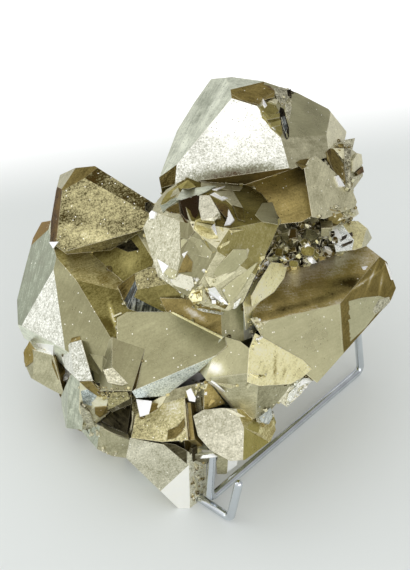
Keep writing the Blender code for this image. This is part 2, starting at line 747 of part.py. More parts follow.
def weld(mesh):
    """Joins the caps of a wire to its side."""
    shape = bmesh.new()
    shape.from_mesh(mesh)
    bmesh.ops.remove_doubles(shape, verts=shape.verts, dist=SAME_POINT / 10)
    shape.to_mesh(mesh)
    shape.free()


def stand(name_end="", radius=WIRE / 2):
    """The stand's two wires."""
    frame_corners, foot_corners = stand_corners()
    frame = wire("stand_frame" + name_end, rounded(frame_corners, True), radius, closed=True)
    foot = wire("stand_foot" + name_end, rounded(foot_corners, False), radius, closed=False)
    return frame, foot


def grown_together():
    """All the crystals in one solid, cut level where it rests."""
    known = {}
    crystals = bpy.data.collections.new("crystals")
    bpy.context.scene.collection.children.link(crystals)
    bodies = []
    for name, crystal in CRYSTALS.items():
        bodies.append((name, crystal_planes(name, crystal, known)))
    for i, cube in enumerate(GRAVEL_CUBES):
        bodies.append((f"gravel cube {i}", cube_planes(*cube)))
    for i, lump in enumerate(FAR_LUMPS):
        bodies.append((f"far lump {i}", pyritohedron_planes(*lump)))
    cluster = convex_body("pyrite_cluster", bodies[0][1])
    for name, planes in bodies[1:]:
        body = convex_body(name, planes)
        bpy.context.scene.collection.objects.unlink(body)
        crystals.objects.link(body)
        set_aside(body)
    boolean(cluster, crystals, "UNION")
    keep_outer_skin(cluster)
    low, high = (-FLOOR_REACH, -FLOOR_REACH, -FLOOR_DEPTH), (FLOOR_REACH, FLOOR_REACH, 0)
    floor = box("below the floor", low, high)
    set_aside(floor)
    boolean(cluster, floor, "DIFFERENCE")
    return cluster


def main():
    for old in list(bpy.data.objects):
        bpy.data.objects.remove(old)
    cluster = grown_together()
    frame, foot = stand()
    for room in stand(" room", WIRE / 2 + GAP):
        set_aside(room)
        boolean(cluster, room, "DIFFERENCE")
    pyrite = metal("pyrite", (0.56, 0.5, 0.36), 0.32)
    chrome = metal("chromed wire", (0.72, 0.74, 0.76), 0.12)
    cluster.data.materials.append(pyrite)
    for piece in (frame, foot):
        piece.data.materials.clear()
        piece.data.materials.append(chrome)


main()
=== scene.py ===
"""A pyrite cluster on its bent wire stand, laid out as an add-on that builds the finished pieces.

The stone's skin takes its facets from the solid model, is cut fine enough to carry relief, and
gets a finish for every facet. Growth plates, small crystals and smooth wires go on top of it.
"""

import math

import bmesh
import bpy
import numpy as np
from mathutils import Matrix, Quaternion, Vector, noise
from mathutils.bvhtree import BVHTree


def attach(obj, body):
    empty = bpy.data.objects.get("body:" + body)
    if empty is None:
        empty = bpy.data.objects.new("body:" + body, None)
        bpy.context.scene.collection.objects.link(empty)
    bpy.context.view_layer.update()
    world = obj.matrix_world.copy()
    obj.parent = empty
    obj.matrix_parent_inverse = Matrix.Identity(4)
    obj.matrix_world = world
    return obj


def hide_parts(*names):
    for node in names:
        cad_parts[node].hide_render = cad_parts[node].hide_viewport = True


bl_info = {
    "name": "Pyrite specimen",
    "version": (1, 0, 0),
    "blender": (4, 5, 0),
    "location": "3D View > Sidebar > Pyrite",
    "description": "Builds a pyrite cluster on its wire stand",
    "category": "Object",
}

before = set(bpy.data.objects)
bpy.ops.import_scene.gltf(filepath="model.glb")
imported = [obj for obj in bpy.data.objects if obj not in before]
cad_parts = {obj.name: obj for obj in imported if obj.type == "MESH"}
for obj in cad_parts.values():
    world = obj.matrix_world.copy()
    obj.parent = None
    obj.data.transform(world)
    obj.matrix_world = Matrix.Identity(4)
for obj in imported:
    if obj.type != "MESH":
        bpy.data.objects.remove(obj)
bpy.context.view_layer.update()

MM = 0.001

# The layout sheet: it faces the display viewpoint, and a place on it is given in its own steps.
SHEET_STEP = 0.00035
SHEET_SIZE = (410, 570)
SHEET_CENTRE = (SHEET_SIZE[0] / 2, SHEET_SIZE[1] / 2)
CENTRE = Vector((-0.0004, -0.0101, 0.0615))
VIEW_DISTANCE = 0.5
VIEW_ELEVATION = math.radians(38)
ACROSS = Vector((1, 0, 0))
UP_SHEET = Vector((0, math.sin(VIEW_ELEVATION), math.cos(VIEW_ELEVATION)))
TO_VIEWER = Vector((0, -math.cos(VIEW_ELEVATION), math.sin(VIEW_ELEVATION)))
EYE = CENTRE + VIEW_DISTANCE * TO_VIEWER

# The stand's wire, by the middle of the wire.
WIRE = 0.003
FRAME_HEIGHT = 0.030
FRAME_LEAN = math.radians(3)
FRAME_NEAR_CORNER = (0.0011, -0.0584, 1.5 * WIRE + 0.0003)
FRAME_FAR_CORNER = (0.0601, 0.0133, WIRE / 2)
LEG_CONVERGENCE = math.radians(8.2)
HEEL = (0.0084, -0.0643, WIRE / 2)
FOOT_RUN = math.radians(138)
FOOT_LENGTH = 0.030
LIP_HEIGHT = 0.022
LIP_LEAN = math.radians(10)
BEND = 0.0026
TIP_ANGLES = (0, 15, 30, 45, 58, 70, 80, 87)    # the rings of its rounded tip, in degrees
TIP_CREASE = math.radians(50)
WIRE_DULL = 0.72             # how dark its dull spots are
DULL_SCALE = 120
MARKS_SCALE = 900
MARKS_DEPTH = 0.00002

# Finishes of a crystal face. dark and light are the ends of its colour. mottle is the size of its
# clouds and relief the height of its etching, both in millimetres. contrast, streak and grain are
# how strongly its clouds, its drawn-out lines and its fine grain show, and glints and pits are
# the shares of its grains that shine or are dark. shine and rim are the strength and colour of
# its flat reflections.
# The finishes carry painted light along with the faces' own colour: white paints glints, shadow paints
# the shade of hollows and cracks, and the pale silvery ones paint reflections of the bright
# surroundings over the stone's own pale colour.
CLEAR = dict(shine=0.5, rim="ffffff")
WARM = dict(shine=0.15, rim="a89458")
DUSKY = dict(shine=0.15, rim="8a6a34")
FINISHES = {
    "satin_silver": dict(CLEAR, dark="868c77", light="f0f4e0", rough=0.36, mottle=5, contrast=0.5,
                         streak=0.6, grain=0.5, glints=0.006, pits=0.03, bump=0.25, relief=0.03),
    "frosted": dict(CLEAR, dark="8b8b76", light="fffff6", rough=0.45, mottle=3, contrast=0.5,
                    streak=0.0, grain=1.3, glints=0.02, pits=0.12, bump=0.5, relief=0.06),
    "etched_silver": dict(CLEAR, dark="6f7b76", light="f0f8f4", rough=0.4, mottle=2, contrast=0.6,
                          streak=0.0, grain=1.8, glints=0.02, pits=0.1, bump=0.6, relief=0.06),
    "white": dict(CLEAR, dark="d4d4c6", light="ffffff", rough=0.4, mottle=4, contrast=0.3,
                  streak=0.1, grain=0.1, glints=0.0, pits=0.0, bump=0.1, relief=0.02),
    "smooth": dict(CLEAR, dark="84805f", light="c8c49c", rough=0.3, mottle=9, contrast=0.35,
                   streak=0.25, grain=0.35, glints=0.012, pits=0.01, bump=0.1, relief=0.0),
    "beige": dict(CLEAR, dark="868160", light="e2ddba", rough=0.36, mottle=4, contrast=0.5,
                  streak=0.35, grain=0.6, glints=0.012, pits=0.03, bump=0.25, relief=0.04),
    "etched_gold": dict(WARM, dark="3c3418", light="d2c998", rough=0.4, mottle=2.4, contrast=0.6,
                        streak=0.4, grain=1.1, glints=0.02, pits=0.04, bump=0.9, relief=0.12),
    "golden": dict(CLEAR, dark="988748", light="fff8c0", rough=0.36, mottle=4, contrast=0.5,
                   streak=0.6, grain=0.9, glints=0.01, pits=0.03, bump=0.3, relief=0.05),
    "bronze": dict(DUSKY, dark="352d13", light="a4935c", rough=0.32, mottle=6, contrast=0.45,
                   streak=0.4, grain=0.6, glints=0.006, pits=0.02, bump=0.25, relief=0.03),
    "olive_gold": dict(WARM, dark="524a22", light="b0a66a", rough=0.3, mottle=8, contrast=0.5,
                       streak=0.35, grain=0.6, glints=0.006, pits=0.01, bump=0.15, relief=0.02),
    "shadow": dict(DUSKY, dark="0a0905", light="5c5640", rough=0.3, mottle=4, contrast=0.6,
                   streak=0.9, grain=0.4, glints=0.0, pits=0.0, bump=0.3, relief=0.04),
    "striped_steel": dict(CLEAR, dark="343a38", light="f2f6ee", rough=0.24, mottle=5, contrast=0.4,
                          streak=1.4, grain=0.2, glints=0.0, pits=0.0, bump=0.4, relief=0.03),
    "speckled": dict(CLEAR, dark="8a8768", light="f4f0da", rough=0.42, mottle=2, contrast=0.5,
                     streak=0.4, grain=0.9, glints=0.02, pits=0.03, bump=0.4, relief=0.08),
    "ragged": dict(CLEAR, dark="554f33", light="dcd8bc", rough=0.4, mottle=2, contrast=0.9,
                   streak=0.3, grain=1.5, glints=0.05, pits=0.06, bump=0.8, relief=0.2),
}

# What every crystal finish shares. Sizes of its texture are in millimetres.
METAL_SHARE = 0.7
DEEP_BROWN = "40290e"        # below a finish's dark end
# A painted sheen, which a face turns to above its light end.
SHEEN = "fffdf4"             # above its light end
GLINT = "fffdf0"
# The colour of the painted highlight along the edges.
EDGE_HIGHLIGHT_COLOUR = "fff8dc"
STREAK_STRETCH = 0.12
STREAK_WIDTH = 0.9
GRAIN_SIZE = 0.6
FLECK_CELL = 0.62
FLECK_SHARE = 0.36           # of a cell's size
PIT_DEPTH = 0.75
LINE_STRENGTH = 1.6          # of streaks and grain at a strength of one
NOISE_ROUGHNESS = 0.62
EDGE_WIDTH = 0.00035
EDGE_STRENGTH = 4.0
BUMP_DEPTH = 0.00025
GLOSS_RANGE = 0.25
FACET_SHIFT = (17.0, 0.0, 7.0)    # moves the texture on from one face to the next

# How strongly the painted highlight along the edges shows on each kind of piece.
SKIN_EDGE_HIGHLIGHT = 0.7
PLATE_EDGE_HIGHLIGHT = 0.3
CRYSTAL_EDGE_HIGHLIGHT = 0.6

# Faces that the display view doesn't show take one of these, with a tone and an angle in a range.
HIDDEN_FINISHES = ("beige", "smooth", "smooth", "olive_gold", "bronze", "beige", "speckled",
                   "satin_silver", "smooth", "beige")
HIDDEN_TONES = (-0.15, 0.2)
HIDDEN_ANGLES = (-80, 80)
HIDDEN_CELL = 1.8            # their triangles' size against that of the others

# How the stone's flat faces are found.
SLIVER = 0.02 * MM * MM      # a triangle this small joins its neighbour's face
SAME_FACE = 0.9999           # the least product of two normals on one face
MELT = 0.002 * MM            # points nearer than this are one
FLAT = math.radians(0.3)     # a bend that is smoothed away
STEEP = 0.2                  # a face that looks this far sideways takes its grain from the upright

# The relief of the etched faces: how fine its two waves are, in turns for each millimetre.
COARSE_WAVE = 0.9
FINE_WAVE = 2.1
FINE_SHARE = 0.6

# Growth plates: how far they go into the stone, how near to the stone a corner counts as lying
# on it, how far one may stand out before it is drawn in, and how much a plate may tilt.
PLATE_ROOT = 0.0007
PLATE_NEAR = 0.0025
PLATE_REACH = 0.008
PLATE_TILT = 0.05
PLATE_LEAST = 0.04 * MM      # the least height of a corner
PLATE_BATTER = 0.3           # how far the sides lean out, in millimetres at most
PLATE_SIDE_TONES = (-0.4, 0.3)
DRAW_IN = (1, 0.9, 0.8, 0.7, 0.6, 0.5)    # the steps in which a corner is drawn in

# Small crystals. Their three sides are stretched apart, and they rise by a share of their size.
CRYSTAL_STRETCH = (0.75, 1.2)
CRYSTAL_RISE = (-0.1, 0.25)
BED_SEED = 1000

# Creases between large crystals: shorter or flatter ones hold no small crystals. Open ones, which
# the display view sees, hold fewer and smaller crystals. Sizes are in millimetres.
CREASE_SEED = 7
CREASE_LENGTH = 0.003
CREASE_DEPTH = 0.0003
CREASE_OPEN_SIZES = (0.6, 1.6)
CREASE_HIDDEN_SIZES = (0.8, 2.8)
CREASE_OPEN_LEFT_OUT = 0.6
CREASE_TONES = (-0.4, 0.4)
CREASE_FINISHES = ("beige", "golden", "bronze", "smooth")
CREASE_CLEARANCE = 0.5 * MM  # sight of a crease is tested this far out of it

# The stage.
SKY_SIDE = (-0.6, -0.5, 0.35)     # toward the brightest part of the sky
SKY_FROM, SKY_TO = -0.6, 0.7
SKY_DIM, SKY_BRIGHT = 0.45, 1.0
# Painted light on the floor: a faint glow everywhere lightens the shadows on it, and it brightens and
# glows more toward the back.
FLOOR_AWAY = (-0.25, 1, 0)        # the floor brightens in this direction
FLOOR_TURN, FLOOR_END = 0.14, 0.24
FLOOR_FAR = (0.8, 0.8, 0.8, 1)
FLOOR_GLOW = 0.17
FLOOR_FAR_GLOW = 0.3              # what its far end glows more than its near end
FLOOR_HALF = 3
SENSOR = 36

# The lamps: where each one stands, the point it aims at, its two sides and its tint.
OVERHEAD = ((-0.2, 0.25, 1.0), (0, 0, 0.03), (1.6, 1.2), (1, 1, 1))
WINDOW = ((-0.85, 0.15, 0.25), (0, 0, 0.05), (0.9, 0.5), (0.95, 0.98, 1))
FRONT_FILL = ((0.4, -0.75, 0.35), (0, 0, 0.04), (1.2, 0.6), (1, 1, 1))

# A finish for each face: sheet place, finish, tone, and the direction of its grain in degrees.
# A tone of -0.5 is the finish's dark end and 0.5 its light end. Past them the face turns to deep
# brown or to a painted bright sheen. Each tone carries painted reflection and shade as well as
# the face's own colour: it is set to the brightness the face shows from the display view.
FACES = [
    # The large crystal at the top.
    (235, 135, "frosted", 0.2, 30), (199, 117, "satin_silver", 0.1, 62),
    (255, 96, "bronze", 0.0, -15), (292, 118, "smooth", 0.0, 20), (306, 160, "beige", -0.1, 30),
    (238, 82, "satin_silver", 0.1, 20), (334, 134, "beige", 0.0, 60),
    (258, 174, "bronze", 0.0, 10), (168, 178, "bronze", -0.4, 60),
    # The crystal at the upper left.
    (110, 205, "etched_gold", -0.1, 20), (120, 186, "etched_gold", -0.35, 20),
    (55, 216, "bronze", -0.2, 80),
    (78, 172, "bronze", 0.0, 60), (62, 180, "beige", -0.25, 60), (104, 245, "etched_gold", 0.0, 10),
    # The long crystal on the left.
    (47, 312, "frosted", 0.05, 70), (38, 262, "satin_silver", -0.55, 70),
    (80, 322, "smooth", -0.5, 60), (87, 268, "golden", -0.2, 40),
    (109, 304, "olive_gold", -0.25, 50), (53, 348, "satin_silver", 0.4, 30),
    (40, 228, "bronze", 0.3, 70),
    # The front.
    (122, 363, "smooth", -0.55, 70),
    (106, 384, "smooth", -0.2, 50),
    (160, 340, "smooth", -0.35, 25), (168, 385, "etched_silver", 0.3, 20),
    (230, 361, "smooth", 0.05, 60), (205, 372, "beige", 0.55, 60),
    (271, 362, "golden", 0.45, 62), (240, 391, "beige", 0.0, 15),
    (268, 393, "beige", -0.3, 70), (221, 393, "beige", 0.6, 30),
    (222, 431, "speckled", 0.0, 20), (244, 417, "golden", -0.3, 20),
    (258, 435, "olive_gold", 0.4, -40),
    (218, 392, "satin_silver", 0.5, 30), (140, 366, "bronze", -0.3, 70),
    (248, 344, "beige", 0.1, 60),
    # The lower crystals.
    (98, 384, "golden", 0.8, 20), (66, 374, "white", 0.1, 60), (208, 402, "bronze", 0.35, 75),
    (178, 390, "beige", -0.3, 20), (194, 380, "white", 0.3, 20),
    (191, 395, "white", 0.4, 0), (108, 418, "shadow", 0.2, -35),
    (231, 465, "white", 0.2, 0), (221, 467, "beige", -0.2, 10),
    (206, 480, "ragged", 0.7, 70), (198, 438, "beige", 0.3, 70),
    (134, 416, "etched_gold", -0.1, 30),
    (158, 420, "etched_gold", 0.35, 20), (190, 421, "bronze", 0.0, 80),
    (143, 406, "white", 0.5, 0), (153, 407, "bronze", 0.0, 70),
    (157, 460, "speckled", 0.0, 35), (180, 488, "white", 1.2, 0),
    (196, 480, "ragged", 0.6, 70), (176, 444, "shadow", 0.0, 20), (188, 448, "bronze", 0.4, 70),
    (207, 459, "beige", -0.8, 20), (200, 448, "satin_silver", 0.5, 20),
    (46, 371, "beige", 0.0, 60), (29, 359, "beige", -0.2, 70), (38, 348, "frosted", 0.3, 0),
    (60, 373, "bronze", 0.1, 60), (79, 363, "frosted", -0.1, 0), (68, 361, "frosted", 0.2, 70),
    (74, 406, "satin_silver", -0.1, 75), (65, 401, "satin_silver", -0.1, 75),
    (88, 400, "beige", 0.5, 25), (94, 388, "golden", -0.3, 20), (96, 414, "beige", 0.0, 0),
    (118, 398, "shadow", 0.3, -35), (112, 443, "beige", -0.1, 40), (110, 428, "white", 0.3, 30),
    (93, 433, "satin_silver", -0.1, 60),
    # The middle, under the dome.
    (141, 306, "striped_steel", -0.45, 80), (122, 285, "bronze", -0.2, 35),
    (130, 295, "striped_steel", -0.6, 60), (157, 295, "olive_gold", -0.05, 30),
    (148, 278, "etched_gold", 0.0, 20), (211, 318, "bronze", 0.3, 30),
    (234, 314, "smooth", -0.35, 80), (248, 331, "white", 0.2, 60),
    (253, 289, "golden", 0.9, 80),
    (145, 237, "beige", 0.0, 10), (204, 398, "ragged", 0.2, 30),
    (124, 258, "olive_gold", -0.35, 30),
    (164, 192, "olive_gold", -0.3, 30),
    # The right.
    (310, 226, "bronze", 0.8, 0), (318, 258, "bronze", 0.3, 10),
    (312, 335, "smooth", 0.1, 25), (315, 284, "bronze", 0.6, 22), (372, 290, "bronze", 0.05, 50),
    (269, 281, "golden", 0.5, 60), (288, 193, "bronze", 0.2, 20), (325, 191, "beige", 0.1, 70),
    (346, 144, "ragged", 0.1, 70), (341, 163, "ragged", -0.1, 70), (355, 169, "beige", -0.25, 80),
    (350, 213, "beige", 0.7, 10), (336, 220, "ragged", -0.2, 10), (356, 237, "golden", 0.15, 60),
    (356, 225, "golden", 0.15, 30), (366, 238, "beige", 0.0, 70),
    (341, 238, "striped_steel", 0.5, 15), (301, 241, "bronze", -0.1, 0),
    (294, 390, "ragged", 0.5, 30), (265, 417, "ragged", 0.0, 30),
    # The dome.
    (195, 259, "smooth", -0.3, 60), (163, 246, "speckled", -0.15, 60),
    (182, 226, "smooth", -0.65, 60),
    (225, 200, "olive_gold", -0.25, 30), (170, 200, "beige", 0.0, 25), (213, 229, "beige", 0.4, 60),
    (250, 239, "olive_gold", 0.45, 70), (225, 282, "beige", -0.05, 20),
    (208, 209, "speckled", 0.0, 80),
    (183, 282, "speckled", 0.5, 0), (196, 297, "golden", -0.6, 0), (214, 296, "white", 0.1, 30),
]


# Soft marks of painted light on a face, with a few streaks among them: painted reflections,
# highlights and shade. Each has a sheet place, half length, half width, angle, and the change of
# tone. Below zero the face goes down to deep brown, above one up to a painted bright sheen.
PAINTED_LIGHT_MARKS = [
    # The large crystal at the top: a brown reflection at its foot, a grey one beside it.
    (228, 176, 40, 8, 5, -1.3), (262, 168, 24, 6, 7, -0.5),
    (200, 150, 14, 20, 60, -0.25), (235, 118, 30, 22, 0, 0.5),
    (206, 102, 30, 5, 60, -0.3), (217, 100, 40, 3, 60, 0.3), (180, 150, 30, 3, 62, 0.3),
    (312, 108, 16, 8, -30, -0.25), (312, 128, 8, 20, 85, -0.2), (296, 150, 14, 6, 0, 0.15),
    # The crystal at the upper left.
    (90, 180, 20, 6, 40, -0.5), (60, 215, 6, 26, 80, -0.3), (92, 236, 26, 8, -15, 0.5),
    (140, 205, 8, 20, 60, -0.2), (100, 205, 20, 16, 0, 0.2),
    # The long crystal on the left.
    (95, 262, 26, 8, 10, 0.3), (96, 285, 20, 10, 50, -0.1), (112, 325, 5, 20, 70, -0.5),
    (130, 262, 14, 10, 30, 0.4), (66, 275, 6, 30, 70, 0.1), (90, 340, 8, 30, 65, 0.1),
    # The front.
    (215, 368, 7, 10, 70, 1.4), (150, 325, 30, 8, 10, 0.1), (190, 340, 14, 14, 0, 0.15),
    (275, 369, 16, 1.6, 88, -0.8), (284, 372, 9, 1.4, 80, -0.5), (258, 350, 8, 14, 60, 0.2),
    (254, 395, 24, 5, 85, 0.15), (113, 318, 14, 1.6, -75, 1.3),
    # The right.
    (335, 284, 28, 6, 12, -0.7), (300, 305, 50, 4, 17, -0.8), (352, 284, 10, 8, 20, -0.7),
    (300, 275, 22, 9, 15, 0.3), (330, 262, 30, 7, 15, 0.3), (345, 252, 26, 6, -20, 0.1),
    (262, 312, 9, 8, 30, 0.2), (275, 298, 8, 14, 40, -0.5), (318, 288, 16, 3, 12, 0.25),
    (362, 283, 20, 1.2, 35, 0.8), (372, 276, 16, 1.2, 68, 0.7), (381, 284, 12, 1.4, 80, 0.7),
    (340, 312, 30, 8, 15, 0.1),
    (262, 292, 10, 8, 60, 0.3),
    # The throat: pale reflections in brown.
    (200, 317, 14, 3, -35, 0.4), (212, 326, 8, 3, 20, -0.5), (190, 311, 10, 3, -30, 0.5),
    (290, 205, 16, 6, 10, 0.1), (300, 180, 12, 16, 70, -0.1),
    # The lower crystals.
    (120, 450, 24, 6, -15, -0.1), (165, 470, 20, 12, 40, -0.1), (140, 450, 16, 4, 25, 0.3),
    (172, 408, 12, 8, 0, 0.4), (140, 432, 10, 8, 0, -0.3),
    (208, 420, 10, 16, 70, -0.1), (228, 440, 14, 14, 0, 0.1),
]
